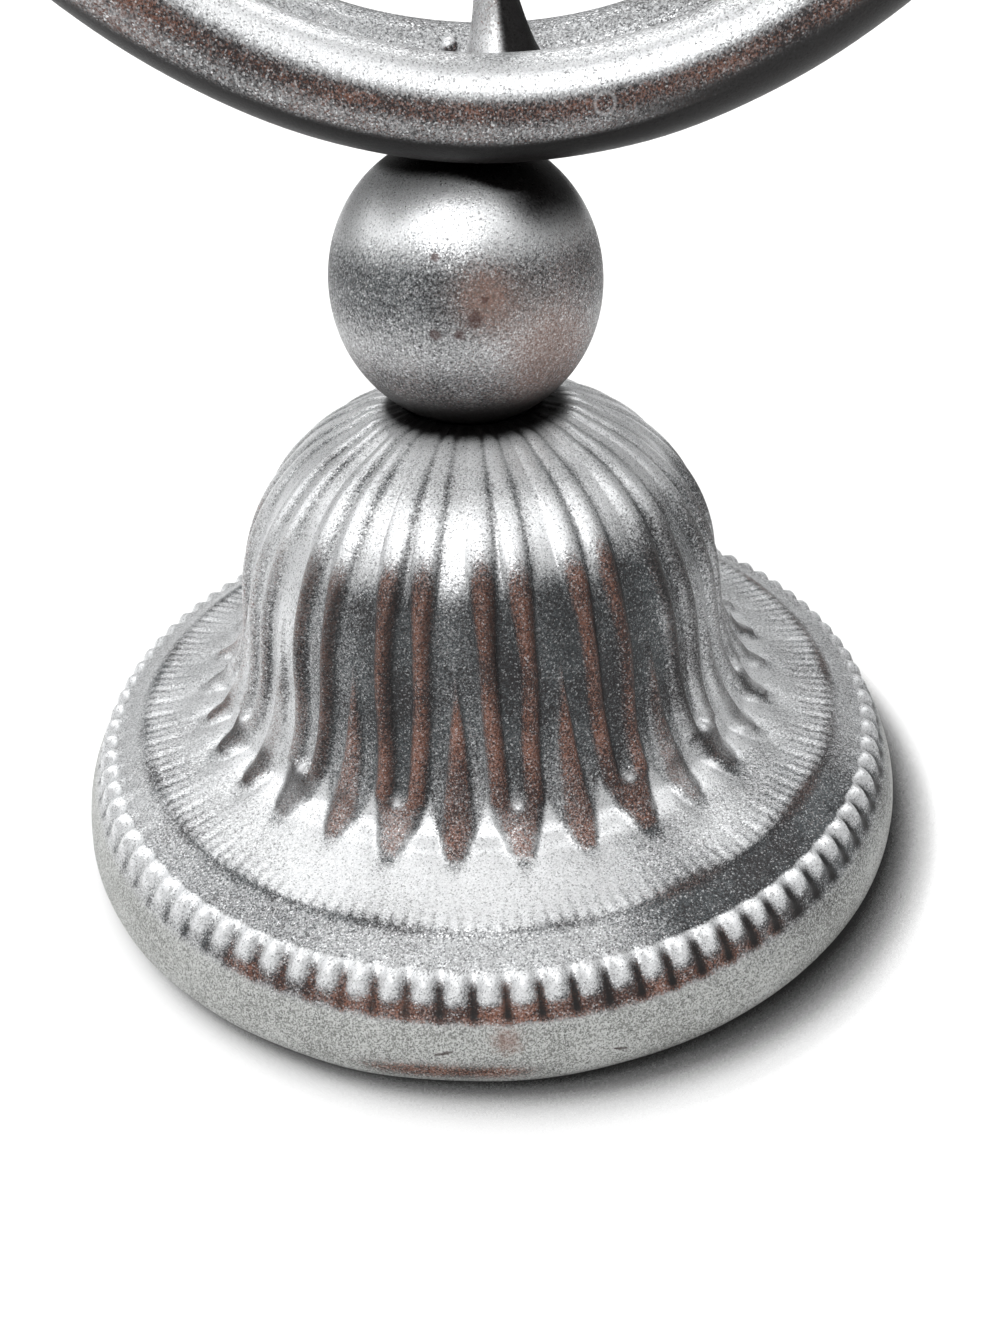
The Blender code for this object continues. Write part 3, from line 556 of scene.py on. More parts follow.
def foot_marks(paint, shown):
    """Scratches through the rim's paint, each a slim ellipse between two points, and one brown smudge."""
    ragged = paint.noise(2400.0, 3.0, 0.6) - 0.5
    for start, end in scratches.items():
        length = float(np.linalg.norm(np.subtract(start, end)))
        over = paint.far_from(start) + paint.far_from(end) - length
        line = 1.0 - (over + 0.00010 * ragged).eased(0.00001, 0.00006)
        shown = paint.blend(line * 0.8, shown, undercoat_dark)
    near = 1.0 - (paint.far_from(smudge) + 0.0030 * ragged).eased(0.0004, 0.0024)
    return paint.blend(near * 0.55, shown, undercoat)


sprayed(
    "foot_shell", "foot_silver", foot_points, "foot_paint", "foot", foot_marks, looped=True,
    bare=with_inside(rubbed), dusk=with_inside(missed, 0.6), matte=with_inside(chalky),
    thin=with_inside(starved), spray=with_inside(reached), dry=with_inside(powdery),
)


# Foot pad: a disc of dark green felt, punched out and glued into the recess under the rim.
# It is proud of the metal by a third of a millimetre, so the foot stands on it.

felt_green = (0.020, 0.034, 0.026, 1.0)
felt_dust = (0.075, 0.085, 0.072, 1.0)


def turned(outline, columns, middle=(0.0, 0.0, 0.0), ahead=(0.0, 0.0, 1.0), side=(1.0, 0.0, 0.0)):
    """A turned shape: (radius, height) rows spun round a line through middle that points ahead."""
    outline = np.asarray(outline, float)
    ahead = np.asarray(ahead, float) / np.linalg.norm(ahead)
    side = side - ahead * np.dot(side, ahead)
    side = side / np.linalg.norm(side)
    other = np.cross(ahead, side)
    angle = 2.0 * np.pi * np.arange(columns) / columns
    spoke = np.cos(angle)[:, None] * side + np.sin(angle)[:, None] * other
    return np.asarray(middle) + outline[:, 0, None, None] * spoke + outline[:, 1, None, None] * ahead


pad_outline = [(0.0200, 0.0018), (0.0480, 0.0018), (0.0508, 0.0017), (0.0511, 0.0014)]
pad_outline += [(0.0511, 0.0004), (0.0508, 0.0001), (0.0480, 0.0), (0.0200, 0.0)]
pad = skin("felt_pad", turned(pad_outline, 128), "felt", "foot_pad")
felt = Finish("felt")
fibre = felt.noise(3500.0, 4.0, 0.7)
matted = felt.noise(220.0, 3.0)
felt_colour = felt.blend((fibre + 0.5 * (matted - 0.5)).eased(0.35, 0.75), felt_green, felt_dust)
fuzz = felt.bump(fibre, 0.6, 0.0003)
felt.wear(pad, base_color=felt_colour, roughness=0.86 + 0.12 * matted, normal=fuzz)


# Ball: a drilled steel ball, thirty millimetres across, clamped between the foot and the coil.
# It has the same coat as the foot. Its rosy and beige patches are painted reflections, shown as undercoat
# through the silver; its upper part is fully silvered as painted light, and its underside, its top under
# the bar and its upper right are painted shade.

ball_radius = 0.0150
ball_level = 0.066453
rose = (0.34, 0.245, 0.21, 1.0)
chip_brown = (0.07, 0.026, 0.020, 1.0)


def ball_points(rows, columns):
    """A sphere by latitude and longitude with a bore up its middle, worn by slow waves of 0.04 mm."""
    edge = np.arccos(rod_bore / ball_radius)
    latitude = np.linspace(edge, -edge, rows)
    outside = np.stack([ball_radius * np.cos(latitude), ball_level + ball_radius * np.sin(latitude)], axis=-1)
    bore_height = np.linspace(outside[-1, 1] + 0.0006, outside[0, 1] - 0.0006, 4)
    bore = np.stack([np.full(4, rod_bore), bore_height], axis=-1)
    points = turned(np.concatenate([outside, bore]), columns)
    middle = np.array([0.0, 0.0, ball_level])
    way = points - middle
    return points + 0.003 * way * waves(points, 330.0, 3)[..., None], way / ball_radius


ball_grid, ball_way = ball_points(84, 144)
# Painted reflections: a rosy patch on the front and a beige one low on the right.
rosy = np.exp(-((ball_way - np.array([0.07, -0.98, 0.16])) ** 2).sum(-1) / 0.05)
beige = np.exp(-((ball_way - np.array([0.50, -0.83, -0.20])) ** 2).sum(-1) / 0.14)
ball_rise = ball_way[..., 2]
ball_side = ball_way[..., 0]
# Undercoat brown as painted reflection and shade: in both patches, on the right side and on the lower half.
ball_bare = 0.70 * rosy + 0.40 * beige
ball_bare = ball_bare + 0.24 * eased(ball_side, 0.1, 0.8) + 0.26 * eased(ball_rise, 0.10, -0.40)
# Painted shade: the underside, the top under the bar and the upper right, in the coil's shadow.
under_bar = ball_rise + 0.07 * eased(ball_side, -0.2, 0.3)
ball_dusk = 0.90 * eased(ball_rise, -0.36, -0.78) + eased(under_bar, 0.77, 0.87)
ball_dusk = ball_dusk + 0.95 * eased(ball_side, -0.02, 0.50) * eased(ball_rise, 0.28, 0.72)
# Painted light: full silver on the upper part, and a lighter band of painted reflection below the middle.
ball_spray = 0.18 + 0.82 * eased(ball_rise, 0.25, 0.60) + 0.40 * mound(ball_rise, -0.22, 0.22)
ball_spray = ball_spray + 0.42 * beige + 0.12 * rosy
chips = {
    (-0.227, -0.882, 0.413): 0.00045,
    (0.002, -0.999, 0.038): 0.00080,
    (-0.101, -0.993, -0.055): 0.00055,
    (-0.264, -0.963, -0.054): 0.00060,
    (0.073, -0.985, 0.157): 0.00035,
}


def ball_marks(paint, shown):
    """A rosy blush of painted reflection, and chips: round spots whose edge a noise breaks up."""
    ragged = 0.0007 * (paint.noise(2600.0, 2.0) - 0.5)
    blush = paint.painted("blush") + 0.8 * (paint.noise(2600.0, 3.0, 0.7) - 0.5)
    shown = paint.blend(blush.eased(0.05, 0.95) * 0.6, shown, rose)
    for way, width in chips.items():
        spot = tuple(np.array(way) * ball_radius + np.array([0.0, 0.0, ball_level]))
        chip = 1.0 - (paint.far_from(spot) + ragged).eased(0.6 * width, 1.3 * width)
        shown = paint.blend(chip * 0.65, shown, chip_brown)
    return shown


sprayed(
    "ball_shell", "ball_silver", ball_grid, "ball_paint", "ball", ball_marks, looped=True,
    bare=ball_bare, dusk=ball_dusk, spray=ball_spray, blush=0.75 * beige + 0.62 * rosy,
)


# Tie rod, washer and nut: plain zinc-bright steel hidden inside the foot and the ball.
# The rod clamps the stack from below; these keep their own solids and only get a turned-steel finish.

steel_light = (0.50, 0.50, 0.49, 1.0)
steel_dull = (0.27, 0.26, 0.25, 1.0)


def plain_steel(name, piece):
    """Bright steel with fine tool lines round Z and dull clouds of handling."""
    steel = Finish(name)
    lines = steel.add("ShaderNodeTexWave", {"bands_direction": "Z"}, {"Vector": steel.place, "Scale": 900.0})
    lines = Value(steel, lines.outputs["Fac"])
    dull = steel.noise(400.0, 4.0, 0.6)
    colour = steel.blend(dull.eased(0.35, 0.70), steel_light, steel_dull)
    scored = steel.bump(lines, 0.2, 0.00005)
    steel.wear(piece, base_color=colour, metallic=1.0, roughness=0.28 + 0.3 * dull, normal=scored)


for node in ("tie_rod", "tie_washer", "tie_nut", "throat_plug"):
    plain_steel(node + "_steel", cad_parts[node])


# Coil: a round steel bar wound into two turns side by side, the first behind and the second in front.
# It is welded where it rests on the ball, leaning a little forward, and sprayed with the rest.

bar_radius = 0.0045
clearance = 0.0003
coil_radius = 0.0570
coil_offset = 0.0052
coil_lean = np.radians(11.4)
rest_radius = ball_radius + bar_radius + clearance
rest_half = np.arcsin((bar_radius + clearance / 2.0) / rest_radius)
rest_angle = coil_lean + np.array([-rest_half, rest_half])
back_depth, front_depth = -rest_radius * np.sin(rest_angle)
rest_reach = coil_radius + rest_radius * np.cos(rest_angle)
back_level, front_level = ball_level + np.sqrt(rest_reach**2 - coil_offset**2)
coil_depth = (back_depth + front_depth) / 2.0
coil_level = (back_level + front_level) / 2.0
neck_angle = 60.0
lead_angle = 215.0
coil_joint = 525.0
neck_cosine = np.cos(np.radians(neck_angle))
neck_bend = (coil_radius * neck_cosine + coil_offset) / (1.0 - neck_cosine)
neck_top = front_level + (coil_radius + neck_bend) * np.sin(np.radians(neck_angle))
neck_middle = coil_offset + (coil_radius + neck_bend) * neck_cosine
neck_joint = 24.0
lead_run = 0.0300
lead_way = np.array([np.sin(np.radians(lead_angle)), 0.0, -np.cos(np.radians(lead_angle))])


def coil_line(turn):
    """The coil's centre line: a circle parallel to XZ that swaps from back to front by half a cosine."""
    crossed = np.clip((turn - 360.0 - neck_angle - 10.0) / 44.0, 0.0, 1.0)
    swing = np.cos(np.pi * crossed)
    angle = np.radians(turn)
    return np.stack([
        coil_offset + coil_radius * np.cos(angle),
        coil_depth + (back_depth - coil_depth) * swing,
        coil_level + (back_level - coil_level) * swing + coil_radius * np.sin(angle),
    ], -1)


def neck_line(turn):
    """The neck's centre line: an arc that bends the other way and slides back over the foot's axis."""
    angle = np.radians(180.0 + neck_angle - turn)
    moved = np.clip((turn - neck_joint) / (neck_angle - neck_joint), 0.0, 1.0)
    depth = front_depth * (1.0 + np.cos(np.pi * moved)) / 2.0
    return np.stack([
        neck_middle + neck_bend * np.cos(angle),
        depth,
        neck_top + neck_bend * np.sin(angle),
    ], -1)


def swept(line, radii, columns):
    """A round section carried along a line: each ring stands square to it, its first spoke to the front.

    Gives the points, and each point's outward direction.
    """
    ahead = np.gradient(line, axis=0)
    ahead /= np.linalg.norm(ahead, axis=1, keepdims=True)
    spoke = np.array([0.0, -1.0, 0.0]) + ahead * ahead[:, 1:2]
    spoke /= np.linalg.norm(spoke, axis=1, keepdims=True)
    other = np.cross(spoke, ahead)
    angle = 2.0 * np.pi * np.arange(columns) / columns
    way = np.cos(angle)[None, :, None] * spoke[:, None] + np.sin(angle)[None, :, None] * other[:, None]
    return line[:, None] + np.asarray(radii)[:, None, None] * way, way


def bar_fields(way):
    """What the bar shows by the rise of its side, as painted light: a silver highlight above, a rosy band
    and a thin silver band of painted reflection, and black painted shade below.
    """
    rise = way[..., 2]
    bare = 0.60 * mound(rise, 0.03, 0.24) + 0.40 * mound(rise, -0.42, 0.22)
    dusk = 0.97 * eased(rise, -0.40, -0.65)
    spray = 0.15 + 0.85 * eased(rise, 0.12, 0.44) - 0.45 * eased(rise, 0.72, 0.94)
    spray = spray + 0.42 * mound(rise, -0.36, 0.22)
    return {"bare": bare, "dusk": dusk, "spray": spray}


first_lead = coil_line(np.array(lead_angle)) + np.linspace(lead_run - 0.00015, 0.001, 16)[:, None] * lead_way
first_line = np.concatenate([first_lead, coil_line(np.linspace(lead_angle, coil_joint - 0.15, 210))])
second_coil = coil_line(np.linspace(coil_joint + 0.15, 720.0 + neck_angle, 176))
second_neck = neck_line(np.linspace(0.0, neck_joint - 0.13, 20)[1:])
second_line = np.concatenate([second_coil, second_neck])
ring_mark = (0.01272, -0.01281, 0.08483)


def coil_marks(paint, shown):
    """A ring two millimetres across, left by a bubble in the paint, on the front bar."""
    far = paint.far_from(ring_mark)
    ring = far.eased(0.00065, 0.00085) * (1.0 - far.eased(0.00095, 0.00115))
    return paint.blend(ring * 0.25, shown, silver)


for name, line in (("coil_first_turn", first_line), ("coil_second_turn", second_line)):
    bar_points, bar_way = swept(line, np.full(len(line), bar_radius), 72)
    bar_points = bar_points + 0.00006 * waves(bar_points, 420.0, 7)[..., None] * bar_way
    bar_x = bar_points[..., 0]
    # Painted light and shade: the silver thins, so the bar darkens, towards both ends and more to the right.
    bar_thin = 0.12 * eased(np.abs(bar_x), 0.012, 0.040) + 0.18 * eased(bar_x, 0.012, 0.040)
    fields = bar_fields(bar_way)
    # The first turn, behind the second, is darker as painted shade.
    fields["thin"] = bar_thin + 0.44 * (name == "coil_first_turn")
    # Painted shade under the bar's right-hand end.
    fields["dusk"] = fields["dusk"] + 0.90 * eased(bar_x, 0.002, 0.026) * eased(bar_way[..., 2], 0.10, -0.30)
    bar_name = name.replace("coil", "bar")
    sprayed(bar_name, name + "_silver", bar_points, "bar_paint", name, coil_marks, **fields)


# Ferrules: short turned sleeves soldered over the joints of coil, lead pipe, neck and bell.
# Each has two fine grooves and chamfered edges, where the brown undercoat is rubbed through.

bell_base = neck_top + 0.0050
sleeve_half = 0.0050
sleeve_wall = 0.0012
groove_place = 0.0026
bend_room = sleeve_half**2 / (2.0 * coil_radius)
joint_bore = bar_radius + clearance
bell_ferrule_bore = 0.0083
pipe_length = 0.0220
receiver_bore = 0.0037
lead_start = coil_line(np.array(lead_angle))


def sleeve_outline(bore):
    """A sleeve's section as a loop: out over a chamfer, down past two grooves, and back up the bore."""
    wall = bore + sleeve_wall
    height = np.linspace(0.0046, -0.0046, 31)
    grooves = 0.00035 * mound(np.abs(height), groove_place, 0.00045)
    outside = np.stack([wall - grooves, height], -1)
    ends = np.array([[bore, sleeve_half], [wall - 0.0004, sleeve_half]])
    return np.concatenate([ends, outside, ends[::-1] * [1.0, -1.0], [[bore, 0.0]]])


def sleeve_fields(outline):
    """Bare along the chamfers and painted shade in the grooves, ring by ring."""
    height = np.abs(outline[:, 1:2])
    return {"bare": 0.75 * eased(height, 0.0040, 0.0047), "dusk": 0.6 * mound(height, groove_place, 0.0004)}


coil_middle, coil_next = coil_line(np.array([coil_joint, coil_joint + 1.0]))
neck_start, neck_next = neck_line(np.array([neck_joint, neck_joint + 1.0]))
bell_foot = np.array([0.0, 0.0, bell_base])
sleeves = {
    "coil_ferrule": (joint_bore + bend_room, coil_middle, coil_next - coil_middle),
    "neck_ferrule": (joint_bore + bend_room, neck_start, neck_next - neck_start),
    "lead_ferrule": (joint_bore, lead_start + lead_run * lead_way, lead_way),
    "mouthpiece_receiver": (receiver_bore, lead_start + (lead_run + pipe_length) * lead_way, lead_way),
    "bell_ferrule": (bell_ferrule_bore, bell_foot, np.array([0.0, 0.0, 1.0])),
}
for node, (bore, middle, ahead) in sleeves.items():
    outline = sleeve_outline(bore)
    sleeve_points = turned(outline, 80, middle, ahead, (0.0, -1.0, 0.0))
    sprayed(
        node + "_sleeve", node + "_silver", sleeve_points, "trim_paint", node, looped=True,
        **sleeve_fields(outline),
    )


# Stay post: a thin rod welded into the valley between the two bars, up to the top of the coil.
# The weld stands round its foot in a lopsided fillet, with a bead of spatter beside it.

post_x = 0.0038
post_radius = 0.0018
weld_swell = 0.0016
spatter_radius = 0.00075
post_angle = np.degrees(np.arccos((post_x - coil_offset) / coil_radius))
post_valley = coil_level - coil_radius * np.sin(np.radians(post_angle))
post_top = coil_line(np.array(360.0 + post_angle))[2] - bar_radius - clearance


def post_points(columns):
    """A rod whose radius swells as a square towards its foot, wider to the right and uneven like a weld.

    Gives the points, and how black each column is: painted shade on the right side, away from the light.
    """
    height = np.concatenate([
        np.linspace(post_top, post_valley + 0.0125, 40),
        np.linspace(post_valley + 0.0120, post_valley + 0.0005, 36),
    ])
    angle = 2.0 * np.pi * np.arange(columns) / columns
    low = np.clip((post_valley + 0.0105 - height) / 0.0070, 0.0, 1.25)[:, None]
    lean = 1.0 + 0.40 * np.cos(angle)[None, :] + 0.10 * np.sin(3.0 * angle + 0.7)[None, :]
    radius = post_radius + weld_swell * low**2 * lean
    points = np.stack([
        post_x + radius * np.cos(angle),
        coil_depth + radius * np.sin(angle),
        np.broadcast_to(height[:, None], radius.shape),
    ], -1)
    points = points + 0.00010 * waves(points, 1500.0, 9)[..., None] * low[..., None]
    return points, 1.05 * eased(np.cos(angle - 0.10), -0.35, 0.25)


post_grid, post_dusk = post_points(48)
sprayed("stay_post_rod", "post_silver", post_grid, "post_paint", "stay_post", bare=0.30, dusk=post_dusk)


def circle(angle):
    """Points on a circle of radius 1: the cosine and the sine of an angle, side by side."""
    return np.stack([np.cos(angle), np.sin(angle)], -1)


spatter_outline = spatter_radius * circle(np.radians(np.linspace(86.0, -86.0, 16))) * (1.0, 0.96)
spatter_points = turned(spatter_outline, 24, (-0.0006, -0.0033, post_valley + 0.0039))
spatter_points = spatter_points + 0.00008 * waves(spatter_points, 3000.0, 11)[..., None]
sprayed("weld_spatter", "spatter_silver", spatter_points, "post_paint", None, bare=0.3, dusk=0.15)


# Lead pipe and mouthpiece: the pipe tapers from the bar to the receiver, and the mouthpiece is a
# turned cup with a rounded rim, pushed into the receiver; both are guesses above the photograph's edge.

pipe_tip_radius = 0.0034
mouth_roll = 0.0007
mouth_roll_middle = (0.0073, 0.0233)
pipe_height = np.concatenate([
    np.linspace(pipe_length, 0.0170, 6),
    np.linspace(0.0168, 0.0051, 24),
    np.linspace(0.0050, 0.00015, 6),
])
pipe_radius = pipe_tip_radius + (bar_radius - pipe_tip_radius) * eased(pipe_height, 0.0170, 0.0050)
pipe_base = lead_start + lead_run * lead_way
pipe_points = turned(np.stack([pipe_radius, pipe_height], -1), 64, pipe_base, lead_way, (0.0, -1.0, 0.0))
sprayed("lead_pipe_taper", "lead_pipe_silver", pipe_points, "bar_paint", "lead_pipe", bare=0.22, dusk=0.05)
cup_share = np.linspace(0.0, 1.0, 28)
cup_swell = pipe_tip_radius + 0.0042 * cup_share**0.55 * (0.55 + 0.45 * cup_share**2)
rim_roll = np.linspace(-0.35, 1.0, 14) * np.pi
bowl_share = np.linspace(0.0, 1.0, 18)
mouth_outline = np.concatenate([
    np.stack([0.0015 + 0.0050 * bowl_share**0.7, 0.0108 + 0.0122 * bowl_share**1.4], -1),
    (mouth_roll_middle + mouth_roll * circle(rim_roll))[::-1],
    np.stack([cup_swell, 0.0100 + 0.0128 * cup_share], -1)[::-1],
    [[pipe_tip_radius, 0.0095], [pipe_tip_radius, 0.0040], [pipe_tip_radius, 0.0008], [0.0031, 0.0003]],
])
mouth_base = pipe_base + pipe_length * lead_way
mouth_points = turned(mouth_outline, 72, mouth_base, lead_way, (0.0, -1.0, 0.0))
mouth_bare = 0.5 * eased(mouth_outline[:, 1:2], 0.0225, 0.0240) + 0.15
sprayed(
    "mouthpiece_cup", "mouthpiece_silver", mouth_points, "trim_paint", "mouthpiece",
    bare=mouth_bare, dusk=0.05,
)


# Bell neck: the bar's end drawn out to a cone, bent back over the coil until it stands upright.
# It is soldered into the ferrule under the bell.

neck_end_radius = 0.0080
neck_turns = np.linspace(neck_joint + 0.13, neck_angle, 60)
neck_clear = neck_joint + np.degrees(0.0053 / neck_bend)
neck_stub = np.array([[0.0, 0.0, bell_base - 0.0015], [0.0, 0.0, bell_base - 0.00015]])
neck_path = np.concatenate([neck_line(neck_turns), neck_stub])
neck_swell = np.clip((neck_turns - neck_clear) / (neck_angle - neck_clear), 0.0, 1.0)
neck_radii = bar_radius + (neck_end_radius - bar_radius) * neck_swell
neck_radii = np.concatenate([neck_radii, [neck_end_radius, neck_end_radius]])
neck_points, neck_way = swept(neck_path, neck_radii, 72)
neck_fields = bar_fields(neck_way)
sprayed("bell_neck_cone", "neck_silver", neck_points, "bar_paint", "bell_neck", **neck_fields)


# Horn bell: spun from sheet over a former, with a rolled wire at its mouth and faint spinning rings.
# It stands upright on the neck and hides the steel plug that carries the candle cup.

bell_length = 0.0420
bell_mouth_radius = 0.0480
bell_throat_radius = 0.0080
bell_throat = bell_base + sleeve_half
bell_mouth = bell_throat + bell_length
bell_wall = 0.0012
bell_flare = 1.0 / 0.9
bell_pole = bell_length / ((bell_mouth_radius / bell_throat_radius) ** bell_flare - 1.0)
wire_radius = 0.0016
wire_middle = 0.0474


def bell_level(radius):
    """The height at which the bell has a radius: its mouth less the pole times (mouth / radius)^flare - 1."""
    return bell_mouth - bell_pole * ((bell_mouth_radius / radius) ** bell_flare - 1.0)


bell_r = np.geomspace(bell_mouth_radius, bell_throat_radius, 90)
bell_outside = np.stack([bell_r, bell_level(bell_r)], -1)
bell_outside[:, 0] += 0.00010 * np.sin(bell_outside[:, 1] * 5200.0) * eased(bell_r, 0.047, 0.040)
bell_spigot = [[bell_throat_radius, bell_base + 0.0025], [bell_throat_radius, bell_base + 0.00015]]
bell_outside = np.concatenate([bell_outside, bell_spigot])
bell_inside = np.stack([bell_outside[::-1, 0] - bell_wall, bell_outside[::-1, 1]], -1)
bell_loop = np.concatenate([bell_outside, bell_inside])
bell_points = turned(bell_loop, 192)
bell_points = bell_points + 0.00010 * waves(bell_points, 160.0, 5)[..., None] * np.array([0.6, 0.6, 1.0])
outer_side = np.concatenate([np.ones(len(bell_outside)), np.zeros(len(bell_inside))])[:, None]
bell_bare = 0.35 * eased(bell_loop[:, 0:1], 0.0440, 0.0478)
bell_bare = bell_bare + 0.10 + 0.25 * eased(bell_loop[:, 1:2], bell_throat + 0.006, bell_throat - 0.002)
# Painted shade: darker inside the bell than outside.
bell_dusk = 0.10 * (1.0 - outer_side) + 0.05 * outer_side
bell_spray = np.clip(0.46 + 0.22 * waves(bell_points, 130.0, 15), 0.0, 1.0)
sprayed(
    "horn_bell_shell", "bell_silver", bell_points, "bell_paint", "horn_bell", looped=True,
    bare=bell_bare, dusk=bell_dusk, spray=bell_spray,
)
wire_angle = np.linspace(0.0, -2.0 * np.pi, 25)[:-1]
wire_level = bell_mouth + wire_radius + clearance
wire_outline = wire_radius * circle(wire_angle) + (wire_middle, wire_level)
wire_points = turned(wire_outline, 192)
wire_bare = 0.15 + 0.40 * eased(np.cos(wire_angle), 0.5, 1.0)[:, None]
sprayed(
    "bell_rim_wire", "rim_wire_silver", wire_points, "bell_paint", "bell_rim", looped=True,
    bare=wire_bare, dusk=0.05,
)


# Candle cup and drip pan: the cup is turned with a beaded lip and a stem that is pressed into the plug.
# The pan is a thin ring that lies in the bell round the cup; drips of old wax have dulled its paint.

cup_radius = 0.0124
cup_bore = 0.0112
stem_radius = 0.0030
lip_radius = 0.0012
pan_bore = 0.0127
pan_radius = 0.029907
pan_wall = 0.0008
cup_base = bell_level(cup_radius + bell_wall + clearance)
cup_floor = cup_base + 0.0020
cup_top = cup_floor + 0.0240
stem_base = bell_base + 0.0023
lip_angle = np.linspace(0.75, -0.5, 11) * np.pi
cup_outline = np.concatenate([
    [[stem_radius, cup_floor], [0.0105, cup_floor], [cup_bore, cup_floor + 0.0007]],
    [[cup_bore, cup_floor + 0.0120], [cup_bore, cup_top - 0.0013]],
    lip_radius * circle(lip_angle) + (cup_radius, cup_top - lip_radius),
    [[cup_radius, cup_top - 0.0032], [cup_radius, cup_top - 0.0069], [0.0122, cup_top - 0.0074]],
    [[cup_radius, cup_top - 0.0079], [cup_radius, cup_base + 0.0016], [0.0118, cup_base + 0.0004]],
    [[0.0110, cup_base], [0.0034, cup_base], [stem_radius, cup_base - 0.0004], [stem_radius, stem_base]],
])
cup_height = cup_outline[:, 1:2]
cup_points = turned(cup_outline, 128)
cup_bare = 0.55 * eased(cup_height, cup_top - 0.0018, cup_top - 0.0002) + 0.1
# Painted shade inside the cup.
cup_dusk = np.where(cup_outline[:, 0:1] < cup_bore + 0.00005, 0.45, 0.08)
sprayed(
    "candle_cup_turned", "cup_silver", cup_points, "trim_paint", "candle_cup",
    bare=cup_bare, dusk=cup_dusk,
)
pan_base = bell_mouth - 0.0040
pan_share = np.linspace(0.0, 1.0, 30)
pan_r = pan_bore + (pan_radius - pan_bore) * pan_share
pan_sag = -0.00030 * np.sin(np.pi * pan_share) + 0.00025 * eased(pan_share, 0.92, 1.0)
pan_upper = np.stack([pan_r, pan_base + pan_wall + pan_sag], -1)
pan_lower = np.stack([pan_r[::-1], pan_base + pan_sag[::-1]], -1)
pan_points = turned(np.concatenate([pan_upper, pan_lower]), 160)
pan_edge = np.concatenate([pan_share, pan_share[::-1]])[:, None]
pan_thin = np.clip(0.56 + 0.22 * waves(pan_points, 170.0, 17), 0.0, 1.0)
pan_bare = 0.15 + 0.3 * eased(pan_edge, 0.85, 1.0)
# Painted shade towards the pan's inner edge, next to the cup.
pan_dusk = 0.15 + 0.3 * eased(pan_edge, 0.10, 0.0)
sprayed(
    "drip_pan_ring", "pan_silver", pan_points, "bell_paint", "drip_pan", looped=True,
    bare=pan_bare, dusk=pan_dusk, thin=pan_thin,
)


# Valves: three turned drums threaded on the stay post, each with a domed cap pressed on in front and
# behind. They are above the photograph's edge, so their shape follows the horn that the holder imitates.

drum_radius = 0.0085
drum_half = 0.0060
drum_groove = 0.0036
valve_bore = 0.0030
cap_radius = 0.0074
cap_gap = 0.0003
valve_pitch = 0.0210
drum_share = np.linspace(0.00585, -0.00585, 41)
drum_grooves = 0.00030 * mound(np.abs(drum_share), drum_groove, 0.00040)
drum_side = drum_radius - drum_grooves - 0.0002 * eased(np.abs(drum_share), 0.0054, 0.0059)
drum_end = np.array([[valve_bore, drum_half], [0.0081, drum_half]])
drum_outline = np.concatenate([drum_end, np.stack([drum_side, drum_share], -1), drum_end[::-1] * [1.0, -1.0]])
drum_height = np.abs(drum_outline[:, 1:2])
drum_bare = 0.1 + 0.6 * eased(drum_height, 0.0050, 0.0059)
# Painted shade in the drum's grooves.
drum_dusk = 0.55 * mound(drum_height, drum_groove, 0.0004)
crown_r = np.linspace(0.0004, 0.0072, 30)
rings = mound(crown_r, 0.0046, 0.0004) + mound(crown_r, 0.0019, 0.0003)
crown = 0.0012 + 0.0016 * (1.0 - (crown_r / cap_radius) ** 2) - 0.00029 * rings
cap_edge = np.array([[cap_radius, 0.00105], [cap_radius, 0.0002], [0.0073, 0.0], [valve_bore, 0.0]])
cap_outline = np.concatenate([np.stack([crown_r, crown], -1), cap_edge])
cap_bare = 0.12 + 0.55 * eased(cap_outline[:, 0:1], 0.0064, 0.0073)
# Painted shade in the cap's rings.
cap_dusk = 0.5 * np.append(rings, np.zeros(len(cap_edge)))[:, None]
for number in (1, 2, 3):
    middle = np.array([post_x, coil_depth, coil_level + valve_pitch * (number - 2)])
    drum_node = f"valve_drum_{number}"
    drum_points = turned(drum_outline, 96, middle, (0.0, -1.0, 0.0))
    sprayed(
        drum_node + "_body", drum_node + "_silver", drum_points, "trim_paint", drum_node,
        bare=drum_bare, dusk=drum_dusk,
    )
    for kind, way in (("valve_cap", -1.0), ("valve_back", 1.0)):
        cap_node = f"{kind}_{number}"
        ahead = np.array([0.0, way, 0.0])
        cap_points = turned(cap_outline, 80, middle + (drum_half + cap_gap) * ahead, ahead)
        sprayed(
            cap_node + "_dome", cap_node + "_silver", cap_points, "trim_paint", cap_node,
            bare=cap_bare, dusk=cap_dusk,
        )


# Stage: a wide sheet of pale paper with a painted contact shadow where the holder stands close over it,
# five broad soft lights and an even grey room. The camera stands where the photograph was taken from,
# looking down on the foot.

floor_white = (0.84, 0.84, 0.84, 1.0)
floor_grey = (0.30, 0.30, 0.30, 1.0)
floor_lift = (0.08, 0.08, 0.08, 1.0)
floor_shade = (0.03, 0.03, 0.03, 1.0)
no_light = (0.0, 0.0, 0.0, 1.0)
room_grey = (0.12, 0.12, 0.12, 1.0)
floor_half = 9.0
shade_reach = 0.0090
shade_lee = (-0.78, 0.22, 0.58)
floor_corners = [(-floor_half, -floor_half, 0.0), (floor_half, -floor_half, 0.0)]
floor_corners += [(floor_half, floor_half, 0.0), (-floor_half, floor_half, 0.0)]
floor_mesh = bpy.data.meshes.new("pale_floor")
floor_mesh.from_pydata(floor_corners, [], [(0, 1, 2, 3)])
floor = bpy.data.objects.new("pale_floor", floor_mesh)
bpy.context.scene.collection.objects.link(floor)
paper = Finish("floor_paper")
rays = paper.add("ShaderNodeLightPath").outputs
seen = Value(paper, rays["Is Camera Ray"]) + Value(paper, rays["Is Glossy Ray"])
seen = (seen + Value(paper, rays["Is Transmission Ray"])).eased(0.0, 1.0)
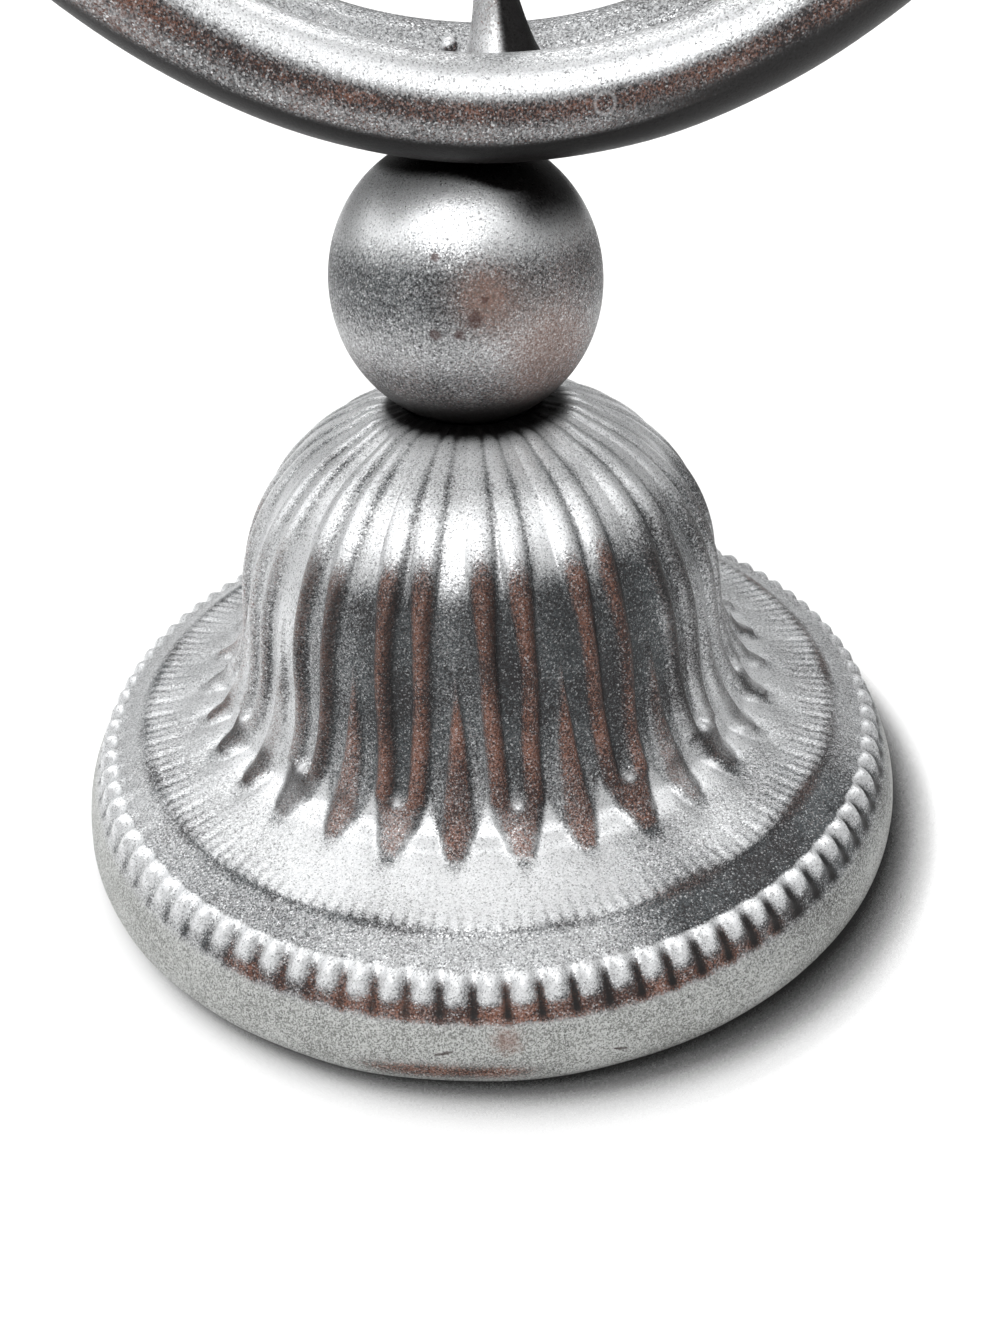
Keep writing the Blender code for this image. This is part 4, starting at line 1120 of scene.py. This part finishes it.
# Painted shadow: the paper darkens by ambient occlusion round a normal leaned to the left, so the shade lies
# to the right of the holder.
lee = paper.add("ShaderNodeCombineXYZ", None, dict(enumerate(shade_lee))).outputs[0]
open_above = paper.add("ShaderNodeAmbientOcclusion", {"samples": 8}, {"Distance": shade_reach, "Normal": lee})
open_above = Value(paper, open_above.outputs["AO"]).eased(0.52, 0.80)
floor_shown = paper.blend(open_above, floor_shade, floor_white)
paper.wear(floor, base_color=paper.blend(seen, floor_grey, floor_shown), roughness=0.9)
paper.feed(paper.shader.inputs["Emission Color"], paper.blend(seen * open_above, no_light, floor_lift))
paper.shader.inputs["Emission Strength"].default_value = 1.0
paper.shader.inputs["Specular IOR Level"].default_value = 0.0


def soft_sun(name, towards, strength, width):
    """A broad far light that shines from a direction, so many degrees wide."""
    light = bpy.data.lights.new(name, "SUN")
    light.energy = strength
    light.angle = np.radians(width)
    lamp = bpy.data.objects.new(name, light)
    bpy.context.scene.collection.objects.link(lamp)
    right = np.cross((0.0, 1.0, 0.0), towards)
    right /= np.linalg.norm(right)
    back = np.asarray(towards) / np.linalg.norm(towards)
    above = np.cross(back, right)
    place = np.eye(4)
    place[:3] = np.stack([right, above, back, back], axis=-1)
    lamp.matrix_world = Matrix(place.tolist())


soft_sun("overhead_light", (-0.05, 0.05, 0.99), 1.45, 92.0)
soft_sun("back_light", (0.00, 0.56, 0.83), 1.15, 50.0)
soft_sun("front_light", (-0.24, -0.64, 0.73), 1.40, 44.0)
soft_sun("left_light", (-0.78, 0.05, 0.62), 0.80, 50.0)
soft_sun("right_light", (0.58, -0.25, 0.77), 0.40, 50.0)
world = bpy.data.worlds.new("grey_room")
world.use_nodes = True
world.node_tree.nodes["Background"].inputs["Color"].default_value = room_grey
bpy.context.scene.world = world

sensor_size = 36.0
focal_pixels = 1017.0
photo_height = 1330.0
camera_data = bpy.data.cameras.new("photo_camera")
camera_data.sensor_width = sensor_size
camera_data.lens = sensor_size * focal_pixels / photo_height
camera_data.clip_start = 0.002
camera_data.clip_end = 40.0
camera = bpy.data.objects.new("photo_camera", camera_data)
bpy.context.scene.collection.objects.link(camera)
camera.matrix_world = Matrix((
    (0.99599, 0.07650, -0.04630, -0.00470),
    (-0.08211, 0.57737, -0.81235, -0.11500),
    (-0.03541, 0.81289, 0.58133, 0.09719),
    (0.0, 0.0, 0.0, 1.0),
))
bpy.context.scene.camera = camera
